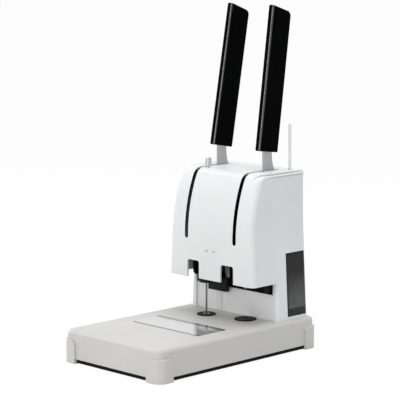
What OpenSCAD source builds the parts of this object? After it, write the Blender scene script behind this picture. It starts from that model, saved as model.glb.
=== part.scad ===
// Twin-lever drill-and-rivet document binder, in millimetres.
// X runs to the right, Y to the back, Z up; the origin is on the floor under the middle of the whole.
// At rest both levers stand up, the drill and the rivet ram are raised, the clearing rod is down.

/* [Base] */
// width of the base shell
base_w = 210; // [190:1:260]
// depth of the base shell
base_l = 342; // [320:1:400]
// height of the working surface
base_top = 51; // [44:1:70]
// wall of the moulded shells
shell_t = 2.6; // [1.6:0.2:4]
// radius of the base's upright corners
base_corner_r = 13.5; // [10:0.5:24]
// rounding of the base's top edge
base_edge_r = 6; // [4:0.5:9]
// thickness of the bottom plate
plate_t = 6; // [3:0.5:8]
// step of the bottom plate inside the shell's outline
plate_inset = 2; // [1:0.5:5]
// height of a corner guard
guard_h = 37; // [20:1:40]
// run of a corner guard along each side
guard_run = 26; // [18:1:50]
// radius of a corner guard's upper ends
guard_r = 9; // [2:0.5:12]
// how far a corner guard stands proud
guard_out = 3; // [1:0.5:5]
// radius of a rubber foot
foot_r = 9; // [6:1:14]
// height of a rubber foot
foot_h = 1.8; // [1:0.2:5]
// middle of the base behind the origin
base_y = -1.2; // [-5:0.1:5]

/* [Tower] */
// step of the tower's foot inside the base's sides
tower_step = 9; // [5:0.5:13]
// half width of the tower at its waist
tower_half_waist = 87.3; // [85:0.1:92]
// half width of the tower at its top
tower_half_top = 86.2; // [84:0.1:90]
// height of the waist above the base
waist_rise = 149; // [120:1:170]
// depth of the tower
tower_d = 123.8; // [120:0.2:140]
// ledge of the base behind the tower
rear_ledge = 8; // [2:0.5:20]
// height of the tower's top above the base
tower_h = 232; // [226:1:260]
// clear height of the paper throat
throat_h = 60.5; // [54:0.5:64]
// depth of the throat from the head's front
throat_d = 56.8; // [54:0.2:60]
// height of the throat's back wall
wall_h = 40.5; // [30:0.5:46]
// height where the head's front starts to lean back
bow_rise = 129; // [110:1:150]
// radius of the leaning front
bow_r = 235; // [200:1:300]
// radius of the front top edge
nose_r = 16.6; // [14:0.1:24]
// radius of the cover's side edges
cover_edge_r = 8.4; // [5:0.1:8.6]
// depth of the cover's side lip
cover_lip = 8.8; // [8.6:0.1:12]
// radius of the cover's side edges on the top
top_edge_r = 2.8; // [2.7:0.1:4]
// depth of the cover's side lip on the top
top_lip = 3; // [2.9:0.1:5]
// height of the raised deck on the top
deck_h = 2.4; // [1:0.1:3]
// ledge round the raised deck
deck_in = 2.4; // [1:0.1:4]
// radius of the pillars' outer corners
pillar_r = 3; // [2.8:0.1:5]
// seam between the two covers
seam = 0.3; // [0.2:0.1:0.8]
// step of the side panels inside the front cover
panel_step = 0.5; // [0.2:0.1:1]

/* [Front cover] */
// lever planes left and right of the middle
lever_x = 52; // [51:0.5:54]
// width of a lever slot
slot_w = 6.4; // [5.6:0.2:8]
// middle of the lever slots' round lower end above the base
slot_rise = 125.6; // [110:0.2:128]
// slot left free behind a lever arm
slot_back = 7; // [2:0.5:10]
// width of a sight notch
notch_w = 25.5; // [18:0.5:30]
// height of a sight notch
notch_h = 26.5; // [15:0.5:30]
// sight notches left and right of the middle
notch_x = 37.3; // [30:0.1:42]
// corner radius of a sight notch
notch_r = 4; // [2:0.5:8]
// width of an indicator light
light_w = 7; // [5:0.5:10]
// height of an indicator light
light_h = 3; // [2.5:0.1:6]
// indicator lights left and right of the middle
light_x = 7.6; // [5:0.1:12]
// height of the lights above the head's lower edge
light_rise = 46; // [36:1:56]

/* [Stations] */
// drill axis left of the middle
drill_x = -26.2; // [-28:0.1:-24]
// drill axis behind the head's front
drill_in = 18.8; // [18:0.1:21]
// rivet axis right of the middle
rivet_x = 42.8; // [41:0.1:44]
// rivet axis behind the head's front
rivet_in = 35.8; // [34.5:0.1:37]
// radius of the drill pad
drill_pad_r = 15.2; // [10:0.1:18]
// radius of the rivet pad
rivet_pad_r = 17.5; // [10:0.1:20]
// height of the pads above the working surface
pad_h = 1.5; // [1:0.1:3]
// height of the drill's tip under the head's lower edge
tip_drop = 9.5; // [4:0.5:12]
// height of the ram's tip under the head's lower edge
ram_drop = 11.5; // [4:0.5:12]
// gap that stays over the pads at the end of a stroke
pad_gap = 0.3; // [0.2:0.1:1]

/* [Drill] */
// radius of the hollow bit
bit_r = 2.8; // [2.5:0.1:3.5]
// radius of the bore through bit and spindle
bore_r = 2.1; // [1.8:0.1:2.2]
// radius of the clearing rod
clear_r = 1.5; // [1:0.1:1.6]
// gap between chuck and guide ring at the end of the stroke
chuck_gap = 0.5; // [0.3:0.1:2]
// radius of the chuck
chuck_r = 11; // [9:0.5:11.5]
// height of the chuck
chuck_h = 12; // [10:0.5:13]
// radius of the spindle
spindle_r = 5; // [4:0.1:6]
// radius of the spindle housing
housing_r = 12; // [11:0.5:12.5]
// height of the spindle housing
housing_h = 20; // [18:0.5:22]
// radius of the spindle bearings
bearing_r = 9; // [8:0.5:9.5]
// radius of the spindle pulley's groove
pulley_r = 10.5; // [9:0.1:11.5]
// radius of the motor pulley's groove
motor_pulley_r = 4.5; // [3.5:0.1:6]
// height of the pulleys
pulley_h = 7; // [6:0.5:8]
// radius of the motor
motor_r = 16; // [12:0.5:16.5]
// height of the motor
motor_h = 30; // [24:0.5:31]
// motor axis right of the drill axis
motor_dx = 39; // [38:0.5:40]
// motor axis behind the drill axis
motor_dy = 8; // [5:0.5:10]
// radius of the clearing knob
knob_r = 4.85; // [4:0.05:6]
// height of the clearing knob
knob_h = 15; // [12:0.5:24]
// lift post left of the drill axis
post_dx = 13.4; // [12:0.1:14.5]
// lift post behind the drill axis
post_dy = 17.7; // [16.5:0.1:18.5]
// radius of the lift post
post_r = 2; // [1.6:0.1:2.6]

/* [Guides] */
// radius of the guide rods
rod_r = 5; // [4:0.1:5.2]
// radius of the guide bushes
bush_r = 7; // [6.2:0.1:7.2]
// drill rods left and right of the drill axis
drill_rod_dx = 15.5; // [14.5:0.1:15.7]
// drill rods behind the drill axis
drill_rod_dy = 34; // [33:0.1:34.6]
// half distance of the rivet rods
rivet_rod_dx = 12.5; // [10:0.1:13]
// middle of the rivet rods left of the rivet axis
rivet_rod_off = 19.3; // [18.4:0.1:20]
// rivet rods behind the rivet axis
rivet_rod_dy = 25; // [23.5:0.1:25.5]
// height of a carriage block
block_h = 22; // [18:0.5:24]
// depth of the rivet carriage's block
rivet_block_d = 18; // [16:0.5:19]
// width of the drill guide's apron
apron_w = 40; // [30:1:44]
// height of the drill guide's apron
apron_h = 13; // [6:0.5:16]
// thickness of the drill guide's apron
apron_t = 7; // [4:0.5:8]
// front of the drill guide ahead of its rods
guide_front = 10; // [8:0.5:11]
// radial clearance of shafts and sliding rods
run_fit = 0.05; // [0.02:0.01:0.09]
// wire radius of the return springs
wire_r = 0.7; // [0.5:0.1:0.9]
// coil radius of the return springs
coil_r = 7.2; // [6.8:0.1:8]
// turns of a return spring
coil_turns = 8; // [6:1:10]

/* [Levers] */
// height of the lever shaft above the base
pivot_rise = 139; // [137:0.5:141]
// lever shaft behind the head's front
pivot_in = 78.8; // [78.4:0.1:80]
// radius of the lever shaft
shaft_r = 6; // [5:0.1:8]
// module of the sector and rack teeth
tooth_m = 2; // [1.9:0.05:2.05]
// teeth on a full circle of the sector
tooth_n = 33; // [33:1:33]
// backlash of the teeth
backlash = 0.3; // [0.2:0.05:0.5]
// thickness of a lever arm
arm_t = 4; // [3:0.2:4.4]
// width of a lever arm
arm_w = 17.8; // [14:0.2:20]
// flare of the arm's rear edge at the cover
arm_flare = 3; // [0:0.2:5]
// radius of a lever hub
hub_r = 16; // [12:0.5:17]
// thickness of a sector and its rack
sector_t = 4; // [3:0.2:4]
// length of a lever arm that shows under the grip
arm_show = 30; // [20:1:40]
// grip axis ahead of the arm's middle
grip_shift = 1.2; // [0:0.1:3]
// lean of the grips against the arms
grip_lean = 10.25; // [4:0.25:14]
// forward lean of the rivet lever at rest
rivet_lean = 2.6; // [0:0.1:4]
// length of a grip
grip_l = 227; // [180:1:260]
// width of a grip
grip_w = 43; // [34:0.5:48]
// thickness of a grip
grip_t = 10.5; // [9:0.5:14]
// corner radius of a grip
grip_r = 4; // [2:0.5:4.4]
// radius of a grip's upper front corner
grip_nose_r = 3; // [2:0.5:6]
// radius of a grip's upper rear corner
grip_end_r = 7; // [3:0.5:10]
// slant of a grip's upper end
grip_slant = 10; // [0:1:20]
// length of the tang inside a grip
tang_l = 70; // [40:1:100]
// fit of the tang in the grip
tang_fit = 0.1; // [0.05:0.05:0.3]

/* [Bin, tube and rear] */
// chip bin's front edge behind the throat's wall
bin_in = 20.5; // [20:0.1:24]
// left wall of the chip bin right of the middle
bin_x = 40; // [38:0.5:60]
// lower edge of the chip bin above the base
bin_low = 5; // [4:0.1:8]
// upper edge of the chip bin above the base
bin_high = 104.5; // [70:0.5:106]
// height of the chip bin's raised floor
bin_floor = 12; // [4:0.5:20]
// gap round the chip bin
bin_gap = 0.5; // [0.3:0.1:1]
// radius of the nylon rivet tube
tube_r = 2.6; // [2:0.1:3]
// length of the nylon rivet tube
tube_l = 176.5; // [120:0.5:240]
// bore of the nylon rivet tube
tube_bore = 1.7; // [1:0.1:1.8]
// seat of the nylon rivet tube above the chip bin
tube_rise = 22; // [16:0.5:30]
// height of the tube holder's arm above the tube's seat
tube_arm_rise = 20; // [10:1:40]
// height of the tube holder's arm
tube_arm_h = 16; // [8:1:24]
// width of the tube holder's arm
tube_arm_w = 10; // [6:0.5:14]
// tube holder right of the middle
tube_x = 66; // [60:0.5:70]
// tube holder ahead of the tower's rear
tube_in = 13; // [12:0.1:14]
// middle of the power inlet left of the middle
inlet_x = -55; // [-62:0.5:-45]
// middle of the power switch left of the middle
switch_x = -18; // [-24:0.5:-10]
// height of inlet and switch above the base
inlet_rise = 30; // [22:1:60]

/* [Hidden] */
$fn = 48;
tower_half_low = base_w / 2 - tower_step;
tower_rear = base_y + base_l / 2 - rear_ledge;
tower_front = tower_rear - tower_d;
tower_top = base_top + tower_h;
head_z = base_top + throat_h;
wall_y = tower_front + throat_d;
pillar_y = wall_y - 3;
pillar_x = tower_half_low - 12;
waist_z = base_top + waist_rise;
bow_z = base_top + bow_rise;
slot_z = base_top + slot_rise;
rear_r = top_lip + 0.3;
shoulder_z = tower_top - deck_h;
panel_in = cover_lip + seam;
panel_top = shoulder_z - rear_r - seam;
drill_y = tower_front + drill_in;
rivet_y = tower_front + rivet_in;
pad_top = base_top + pad_h;
shelf_z = head_z - 12.5;
shelf_t = 9;
shelf_top = shelf_z + shelf_t;
tip_z = head_z - tip_drop;
ram_z = head_z - ram_drop;
drill_stroke = tip_z - pad_top + pad_gap;
ram_stroke = ram_z - pad_top - 1.5;
chuck_z = shelf_top + drill_stroke + chuck_gap;
housing_z = chuck_z + chuck_h + 0.5;
pulley_z = housing_z + housing_h + 1;
spindle_top = pulley_z + pulley_h + 1;
lift_z = spindle_top + 2;
lift_t = 3;
post_x = drill_x - post_dx;
post_y = drill_y + post_dy;
motor_x = drill_x + motor_dx;
motor_y = drill_y + motor_dy;
motor_plate_t = 3.5;
motor_plate_z = pulley_z - 1.5 - motor_plate_t;
pivot_y = tower_front + pivot_in;
pivot_z = base_top + pivot_rise;
slot_rear = pivot_y + arm_w / 2 + arm_flare + slot_back;
pitch_r = tooth_m * tooth_n / 2;
tip_r = pitch_r + tooth_m;
root_r = pitch_r - 1.25 * tooth_m;
base_circle_r = pitch_r * cos(20);
tooth_pitch = PI * tooth_m;
rack_y = pivot_y - pitch_r;
rack_teeth = ceil(drill_stroke / tooth_pitch) + 1;
rack_low = pivot_z - 1.6 * tooth_pitch;
rack_high = pivot_z + (rack_teeth + 0.6) * tooth_pitch;
rack_front = rack_y - 1.25 * tooth_m - 7;
web_y = wall_y + 14;
web_t = 4;
back_y = pivot_y + hub_r + 4;
side_x = tower_half_top - 9.2;
side_t = 3;
side_front = tower_front + 42.3;
block_z = shelf_top + drill_stroke + 12.5;
bridge_z = tower_top - 17;
bridge_t = 5;
drill_rod_y = drill_y + drill_rod_dy;
drill_rods = [drill_x - drill_rod_dx, drill_x + drill_rod_dx];
rivet_rod_y = rivet_y + rivet_rod_dy;
rivet_rod_mid = rivet_x - rivet_rod_off;
rivet_rods = [rivet_rod_mid - rivet_rod_dx, rivet_rod_mid + rivet_rod_dx];
arm_in = lever_x - arm_t / 2;
arm_out = lever_x + arm_t / 2;
drill_sector_x = -arm_out - 0.8 - sector_t;
rivet_sector_x = arm_in - 0.5 - sector_t;
grip_z = tower_top + arm_show - pivot_z;
grip_drop = grip_w * tan(grip_slant);
bin_y = wall_y + bin_in;
bin_z = base_top + bin_low;
bin_top = base_top + bin_high;
tube_y = tower_rear - tube_in;
tube_z = bin_top + tube_rise;
inlet_z = base_top + inlet_rise;
plate_top = foot_h + plate_t;

// points on an arc in a plane
function arc(cx, cy, r, a0, a1, n) = [for (i = [0:n]) let (a = a0 + (a1 - a0) * i / n) [cx + r * cos(a), cy + r * sin(a)]];

// outline of a rectangle with round corners, turning to the left
function round_box(w, l, r, n = 5) = concat(
    arc(w / 2 - r, -l / 2 + r, r, -90, 0, n),
    arc(w / 2 - r, l / 2 - r, r, 0, 90, n),
    arc(-w / 2 + r, l / 2 - r, r, 90, 180, n),
    arc(-w / 2 + r, -l / 2 + r, r, 180, 270, n));

function at_height(points, z) = [for (p = points) [p[0], p[1], z]];

// closed skin through a row of rings with equal counts; a folded ring doubles back on itself as a wall does
module loft(rings, folded = false) {
    n = len(rings[0]);
    m = len(rings);
    last = (m - 1) * n;
    low_end = folded ? [for (i = [0:n / 2 - 2]) [i, i + 1, n - 2 - i, n - 1 - i]] : [[for (i = [0:n - 1]) i]];
    high_end = [for (f = low_end) [for (i = [len(f) - 1:-1:0]) last + f[i]]];
    points = [for (ring = rings) for (p = ring) p];
    sides = [for (k = [0:m - 2]) for (i = [0:n - 1]) let (j = (i + 1) % n)
        [[k * n + i, (k + 1) * n + i, (k + 1) * n + j], [k * n + i, (k + 1) * n + j, k * n + j]]];
    polyhedron(points, concat(low_end, high_end, [for (pair = sides) for (f = pair) f]));
}

// box with round upright corners and a round top edge
module soft_box(w, l, r, edge, z0, z1) {
    loft(concat(
        [at_height(round_box(w, l, r), z0)],
        [for (i = [0:5]) let (a = 18 * i, s = edge * (1 - cos(a)))
            at_height(round_box(w - 2 * s, l - 2 * s, r - s), z1 - edge + edge * sin(a))]));
}

// flat outline with round corners
module round_plate(w, l, r) {
    square([w - 2 * r, l], center = true);
    square([w, l - 2 * r], center = true);
    for (x = [-1, 1])
        for (y = [-1, 1])
            translate([x * (w / 2 - r), y * (l / 2 - r)])
                circle(r = r);
}

// turns an outline drawn in Y and Z into a plate that is thick along X
module side_plate(x, t) {
    translate([x, 0, 0])
        rotate([90, 0, 90])
            linear_extrude(t)
                children();
}

module pin(x, y, z, r, h) {
    translate([x, y, z])
        cylinder(r = r, h = h);
}

module sleeve(x, y, z, r, bore, h) {
    difference() {
        pin(x, y, z, r, h);
        pin(x, y, z - 1, bore, h + 2);
    }
}

// straight bar with a round eye at both ends
module eye_bar(p, q, r, w, h) {
    d = q - p;
    translate(p)
        cylinder(r = r, h = h);
    translate(q)
        cylinder(r = r, h = h);
    translate(p)
        rotate(atan2(d[1], d[0]))
            translate([0, -w / 2, 0])
                cube([norm(d), w, h]);
}

// half width of the tower at a height
function half_w(z) = z < waist_z
    ? tower_half_low + (tower_half_waist - tower_half_low) * (z - base_top) / waist_rise
    : tower_half_waist + (tower_half_top - tower_half_waist) * (z - waist_z) / (tower_top - waist_z);

// lean of the front where its bow meets a nose that ends at a height
function nose_lean(z) = asin((z - nose_r - bow_z) / (bow_r - nose_r));

// points on that nose, from an angle to level
function nose_arc(z, a0, n) = let (y = tower_front + bow_r - (bow_r - nose_r) * cos(nose_lean(z)))
    [for (i = [0:n]) let (a = a0 + (90 - a0) * i / n)
        [y - nose_r * cos(a), z - nose_r + nose_r * sin(a), a]];

bow_lean = nose_lean(shoulder_z);
nose_path = nose_arc(shoulder_z, bow_lean, 6);
nose_y = nose_path[6][0];

// path of the front cover, up the front, over the top and down to the rear lip, with the share of the top's edge
cover_path = concat(
    [[tower_front, head_z, 0, 0]],
    [for (i = [0:8]) let (a = bow_lean * i / 8)
        [tower_front + bow_r * (1 - cos(a)), bow_z + bow_r * sin(a), a, 0]],
    [for (i = [1:6]) concat(nose_path[i], [0.85 * i / 6])],
    [[nose_y + 12, shoulder_z, 90, 1]],
    [for (i = [0:4]) let (a = 90 + 22.5 * i)
        [tower_rear - rear_r - rear_r * cos(a), shoulder_z - rear_r + rear_r * sin(a), a, 1]]);

// section of the front cover: a flat web with a round edge and a lip on both sides
function cover_section(h, t) = let (r = cover_edge_r + (top_edge_r - cover_edge_r) * t,
    lip = cover_lip + (top_lip - cover_lip) * t, c = h - r, s = r - shell_t) concat(
    [[-h, lip]],
    [for (i = [0:4]) [-c - r * cos(22.5 * i), r - r * sin(22.5 * i)]],
    [for (i = [0:4]) [c + r * sin(22.5 * i), r - r * cos(22.5 * i)]],
    [[h, lip], [h - shell_t, lip]],
    [for (i = [4:-1:0]) [c + s * sin(22.5 * i), r - s * cos(22.5 * i)]],
    [for (i = [4:-1:0]) [-c - s * cos(22.5 * i), r - s * sin(22.5 * i)]],
    [[-h + shell_t, lip]]);

// front edge of the side panels, in line with the cover's lip
panel_path = concat(
    [[tower_front + panel_in, head_z]],
    [for (i = [0:8]) let (s = cover_path[i + 1]) [s[0] + panel_in * cos(s[2]), s[1] - panel_in * sin(s[2])]],
    [for (i = [10:15]) let (s = cover_path[i], d = panel_in + (top_lip - cover_lip) * s[3])
        [s[0] + d * cos(s[2]), s[1] - d * sin(s[2])]],
    [[nose_y + 12, panel_top]]);

// outline of the sides and rear of the tower, open to the front
function panel_ring(z, yf) = let (h = half_w(z) - panel_step, r = 6, y = tower_rear - r) concat(
    [[h, yf, z]],
    at_height(arc(h - r, y, r, 0, 90, 4), z),
    at_height(arc(-h + r, y, r, 90, 180, 4), z),
    [[-h, yf, z], [-h + shell_t, yf, z]],
    at_height(arc(-h + r, y, r - shell_t, 180, 90, 4), z),
    at_height(arc(h - r, y, r - shell_t, 90, 0, 4), z),
    [[h - shell_t, yf, z]]);

// outline of the tower's foot, with its sides turned in to the pillars' fronts
function foot_ring(z) = let (h = half_w(z) - panel_step, r = 6, y = tower_rear - r, q = pillar_r, f = pillar_y) concat(
    [[pillar_x, f, z]],
    at_height(arc(h - q, f + q, q, -90, 0, 4), z),
    at_height(arc(h - r, y, r, 0, 90, 4), z),
    at_height(arc(-h + r, y, r, 90, 180, 4), z),
    at_height(arc(-h + q, f + q, q, 180, 270, 4), z),
    [[-pillar_x, f, z], [-pillar_x, f + shell_t, z]],
    at_height(arc(-h + q, f + q, q - shell_t, 270, 180, 4), z),
    at_height(arc(-h + r, y, r - shell_t, 180, 90, 4), z),
    at_height(arc(h - r, y, r - shell_t, 90, 0, 4), z),
    at_height(arc(h - q, f + q, q - shell_t, 0, -90, 4), z),
    [[pillar_x, f + shell_t, z]]);

// filled outline of the tower between two heights, drawn in by a margin
module tower_core(z0, z1, y0, margin) {
    loft([for (z = [z0, z1]) let (h = half_w(z) - panel_step - margin, r = 6 - margin, y = tower_rear - 6)
        concat([[h, y0, z]],
            at_height(arc(h - r, y, r, 0, 90, 4), z),
            at_height(arc(-h + r, y, r, 90, 180, 4), z),
            [[-h, y0, z]])]);
}

// outline of an involute sector, with a space in front of the shaft at rest
function involute(a) = tan(a) * 180 / PI - a;
function flank(r) = 90 / tooth_n - backlash / 4 / pitch_r * 180 / PI + involute(20)
    - involute(acos(min(1, base_circle_r / max(r, base_circle_r))));
tooth_radii = [for (i = [0:5]) root_r + (tip_r - root_r) * i / 5];

module sector_outline() {
    step = 360 / tooth_n;
    outline = [for (k = [-1:rack_teeth]) let (a = 180 - (k + 0.5) * step)
        concat([for (r = tooth_radii) [r * cos(a + flank(r)), r * sin(a + flank(r))]],
            [for (i = [5:-1:0]) let (r = tooth_radii[i]) [r * cos(a - flank(r)), r * sin(a - flank(r))]])];
    polygon(concat([[0, 0]], [for (tooth = outline) for (p = tooth) p]));
    circle(r = hub_r);
}

module rack_outline() {
    half = tooth_pitch / 4 - backlash / 4;
    polygon(concat(
        [[rack_front, rack_high], [rack_front, rack_low], [rack_y - 1.25 * tooth_m, rack_low]],
        [for (k = [-1:rack_teeth]) for (side = [-1, 1]) for (p = side < 0 ? [-1.25, 1] : [1, -1.25])
            [rack_y + p * tooth_m, pivot_z + k * tooth_pitch + side * (half - p * tooth_m * tan(20))]],
        [[rack_y - 1.25 * tooth_m, rack_high]]));
}

// coil of round wire along Z with 8 rings on each turn
module coil(x, y, z0, z1) {
    rise = (z1 - z0 - 2 * wire_r) / coil_turns;
    steps = coil_turns * 8;
    echo(str("coil gap ", sqrt(pow(rise, 2)) - 2 * wire_r));
    translate([x, y, z0 + wire_r])
        loft([for (k = [0:steps]) let (a = 45 * k, c = rise / 360 * a)
            [for (i = [0:5]) let (b = -60 * i, d = coil_r + wire_r * cos(b))
                [d * cos(a), d * sin(a), c + wire_r * sin(b)]]]);
}

// flat arm of a lever, drawn from its shaft upward
module arm_outline(tang, fit) {
    if (!tang) {
        circle(r = hub_r);
        polygon([[-arm_w / 2, 0], [arm_w / 2 + arm_flare, 0], [arm_w / 2 + arm_flare, grip_z - arm_show],
            [arm_w / 2 + arm_flare / 4, grip_z - arm_show / 2], [arm_w / 2, grip_z - 4], [arm_w / 2, grip_z],
            [-arm_w / 2, grip_z]]);
    }
    translate([-grip_shift, grip_z - 2])
        rotate(-grip_lean)
            translate([-arm_w / 2 + 3 - fit, 0])
                square([arm_w - 6 + 2 * fit, tang_l + fit]);
}

module lever_arm(x, lean) {
    translate([x - arm_t / 2, pivot_y, pivot_z])
        rotate([lean, 0, 0])
            difference() {
                side_plate(0, arm_t)
                    arm_outline(false, 0);
                translate([-1, 0, 0])
                    rotate([0, 90, 0])
                        cylinder(r = shaft_r + run_fit, h = arm_t + 2);
            }
}

function grip_ring(s, inset) = [for (p = round_box(grip_t - 2 * inset, grip_w - 2 * inset, grip_r - inset, 4))
    [p[0], p[1], s - (s > grip_l / 2 ? grip_drop * (p[1] / grip_w + 0.5) : 0)]];

module grip_outline() {
    hull() {
        translate([-grip_w / 2, 0])
            square([grip_w, 1]);
        for (e = [[-1, grip_nose_r], [1, grip_end_r]])
            let (y = e[0] * (grip_w / 2 - e[1]))
                translate([y, grip_l - (grip_w / 2 + y) * tan(grip_slant) - e[1] / cos(grip_slant)])
                    circle(r = e[1]);
    }
}

module lever_grip(x, lean) {
    translate([x, pivot_y, pivot_z])
        rotate([lean, 0, 0])
            difference() {
                translate([0, -grip_shift, grip_z])
                    rotate([-grip_lean, 0, 0])
                        intersection() {
                            loft([grip_ring(0, 1.5), grip_ring(0.5, 0.7), grip_ring(1.6, 0), grip_ring(grip_l - 3, 0),
                                grip_ring(grip_l - 0.9, 0.8), grip_ring(grip_l, 2.4)]);
                            side_plate(-grip_t, 2 * grip_t)
                                grip_outline();
                        }
                side_plate(-arm_t / 2 - tang_fit, arm_t + 2 * tang_fit)
                    arm_outline(true, tang_fit);
                translate([-arm_t / 2 - tang_fit, -arm_w / 2 - tang_fit, grip_z - 6])
                    cube([arm_t + 2 * tang_fit, arm_w + 2 * tang_fit, 6 + tang_fit]);
            }
}

module lever_sector(x) {
    translate([x, pivot_y, pivot_z])
        difference() {
            side_plate(0, sector_t)
                sector_outline();
            translate([-1, 0, 0])
                rotate([0, 90, 0])
                    cylinder(r = shaft_r + run_fit, h = sector_t + 2);
        }
}

module base_plate() {
    color([0.03, 0.03, 0.03])
        translate([0, base_y, foot_h])
            linear_extrude(plate_t)
                round_plate(base_w - 2 * plate_inset, base_l - 2 * plate_inset, base_corner_r - plate_inset);
}

module base_shell() {
    color([0.85, 0.85, 0.85])
        difference() {
            translate([0, base_y, 0])
                soft_box(base_w, base_l, base_corner_r, base_edge_r, plate_top, base_top);
            translate([0, base_y, 0])
                soft_box(base_w - 2 * shell_t, base_l - 2 * shell_t, base_corner_r - shell_t,
                    base_edge_r - shell_t, plate_top - 1, base_top - shell_t);
            pin(drill_x, drill_y, base_top - shell_t - 1, drill_pad_r - 5 + 0.1, shell_t + 2);
            pin(rivet_x, rivet_y, base_top - shell_t - 1, rivet_pad_r - 5 + 0.1, shell_t + 2);
        }
}

module corner_guards() {
    color([0.82, 0.82, 0.82])
        translate([0, base_y, 0])
            intersection() {
                difference() {
                    soft_box(base_w + 2 * guard_out, base_l + 2 * guard_out, base_corner_r + guard_out,
                        guard_out * 0.6, foot_h / 2, guard_h);
                    soft_box(base_w + 0.2, base_l + 0.2, base_corner_r + 0.1, base_edge_r, 0, guard_h + 20);
                }
                for (x = [-1, 1])
                    for (y = [-1, 1])
                        translate([x * base_w / 2, y * base_l / 2, 0])
                            intersection() {
                                rotate([90, 0, 0])
                                    linear_extrude(2 * guard_run, center = true)
                                        round_plate(2 * guard_run, 2 * guard_h, guard_r);
                                rotate([90, 0, 90])
                                    linear_extrude(2 * guard_run, center = true)
                                        round_plate(2 * guard_run, 2 * guard_h, guard_r);
                            }
            }
}

module rubber_feet() {
    color([0.05, 0.05, 0.05])
        for (x = [-1, 1])
            for (y = [-1, 1])
                pin(x * (base_w / 2 - 22), base_y + y * (base_l / 2 - 24), 0, foot_r, foot_h);
}

module standoffs() {
    color([0.6, 0.6, 0.62])
        for (x = [-side_x + 12, 24])
            for (y = [web_y + 8, back_y + 6])
                sleeve(x, y, plate_top, 7, 3, base_top - shell_t - plate_top);
}

module drill_pad() {
    color([0.1, 0.1, 0.1])
        difference() {
            union() {
                pin(drill_x, drill_y, base_top, drill_pad_r, pad_h);
                pin(drill_x, drill_y, base_top - shell_t, drill_pad_r - 5, shell_t + pad_h);
            }
            pin(drill_x, drill_y, pad_top - 1, 5.5, 2);
        }
}

module drill_ring() {
    color([0.75, 0.66, 0.45])
        sleeve(drill_x, drill_y, pad_top - 1, 5.5, 3.4, 1);
}

module rivet_pad() {
    color([0.04, 0.04, 0.04])
        difference() {
            union() {
                pin(rivet_x, rivet_y, base_top, rivet_pad_r, pad_h);
                pin(rivet_x, rivet_y, base_top - shell_t, rivet_pad_r - 5, shell_t + pad_h);
            }
            pin(rivet_x, rivet_y, pad_top - 1, tube_r + 0.4, 2);
        }
}

module throat_wall() {
    color([0.75, 0.75, 0.75])
        translate([-pillar_x + seam, wall_y, base_top])
            cube([2 * (pillar_x - seam), shell_t, wall_h]);
}

module rear_cover() {
    color([0.8, 0.8, 0.82])
        difference() {
            union() {
                loft([foot_ring(base_top), foot_ring(head_z)], true);
                loft([for (p = panel_path) panel_ring(p[1], p[0])], true);
            }
            translate([bin_x, bin_y - bin_gap, bin_z - bin_gap])
                cube([tower_half_low, tower_d, bin_top - bin_z + 2 * bin_gap]);
            translate([inlet_x - 14, tower_rear - 10, inlet_z - 10])
                cube([28, 20, 20]);
            translate([switch_x - 9.5, tower_rear - 10, inlet_z - 6.5])
                cube([19, 20, 13]);
        }
}

// raised deck on the cover's top, narrower where it rises out of the nose
module raised_deck() {
    w = tower_half_top - deck_in;
    intersection() {
        side_plate(-w, 2 * w)
            polygon(concat(
                [for (p = nose_arc(tower_top, nose_lean(tower_top) + 6, 8)) [p[0], p[1]]],
                [[tower_rear - deck_in, tower_top], [tower_rear - deck_in, shoulder_z - 1]],
                [for (i = [6:-1:0]) let (p = nose_path[i]) [p[0] + cos(p[2]), p[1] - sin(p[2])]]));
        translate([0, 0, bow_z])
            linear_extrude(tower_h)
                polygon([[-w, tower_rear], [-w, nose_y + 12], [-w + 4, nose_y], [-w + 9, tower_front],
                    [w - 9, tower_front], [w - 4, nose_y], [w, nose_y + 12], [w, tower_rear]]);
    }
}

module front_cover() {
    color([0.9, 0.9, 0.9])
        difference() {
            union() {
                loft([for (s = cover_path) [for (p = cover_section(half_w(s[1]), s[3]))
                    [p[0], s[0] + p[1] * cos(s[2]), s[1] - p[1] * sin(s[2])]]], true);
                raised_deck();
            }
            for (side = [-1, 1]) {
                translate([side * lever_x, slot_rear, slot_z])
                    rotate([90, 0, 0])
                        linear_extrude(slot_rear - tower_front + 5) {
                            circle(r = slot_w / 2);
                            translate([-slot_w / 2, 0])
                                square([slot_w, tower_h]);
                        }
                translate([side * notch_x, tower_front + 10, head_z])
                    rotate([90, 0, 0])
                        linear_extrude(20)
                            round_plate(notch_w, 2 * notch_h, notch_r);
                translate([side * light_x, tower_front - 5, head_z + light_rise])
                    rotate([-90, 0, 0])
                        linear_extrude(20)
                            round_plate(light_w, light_h, light_h / 2 - 0.1);
            }
            pin(post_x, post_y, tower_top - 10, post_r + 0.5, 20);
            pin(tube_x, tube_y, tower_top - 10, tube_r + 0.5, 20);
        }
}

// upper and front edge of a column side plate, with a round lower front corner
function plate_edge(low, r) = concat(
    [[back_y + web_t, bridge_z + bridge_t], [pivot_y - hub_r, bridge_z + bridge_t], [side_front, bow_z]],
    arc(side_front + r, low + r, r, 180, 270, 4),
    [[web_y, low]]);

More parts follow.
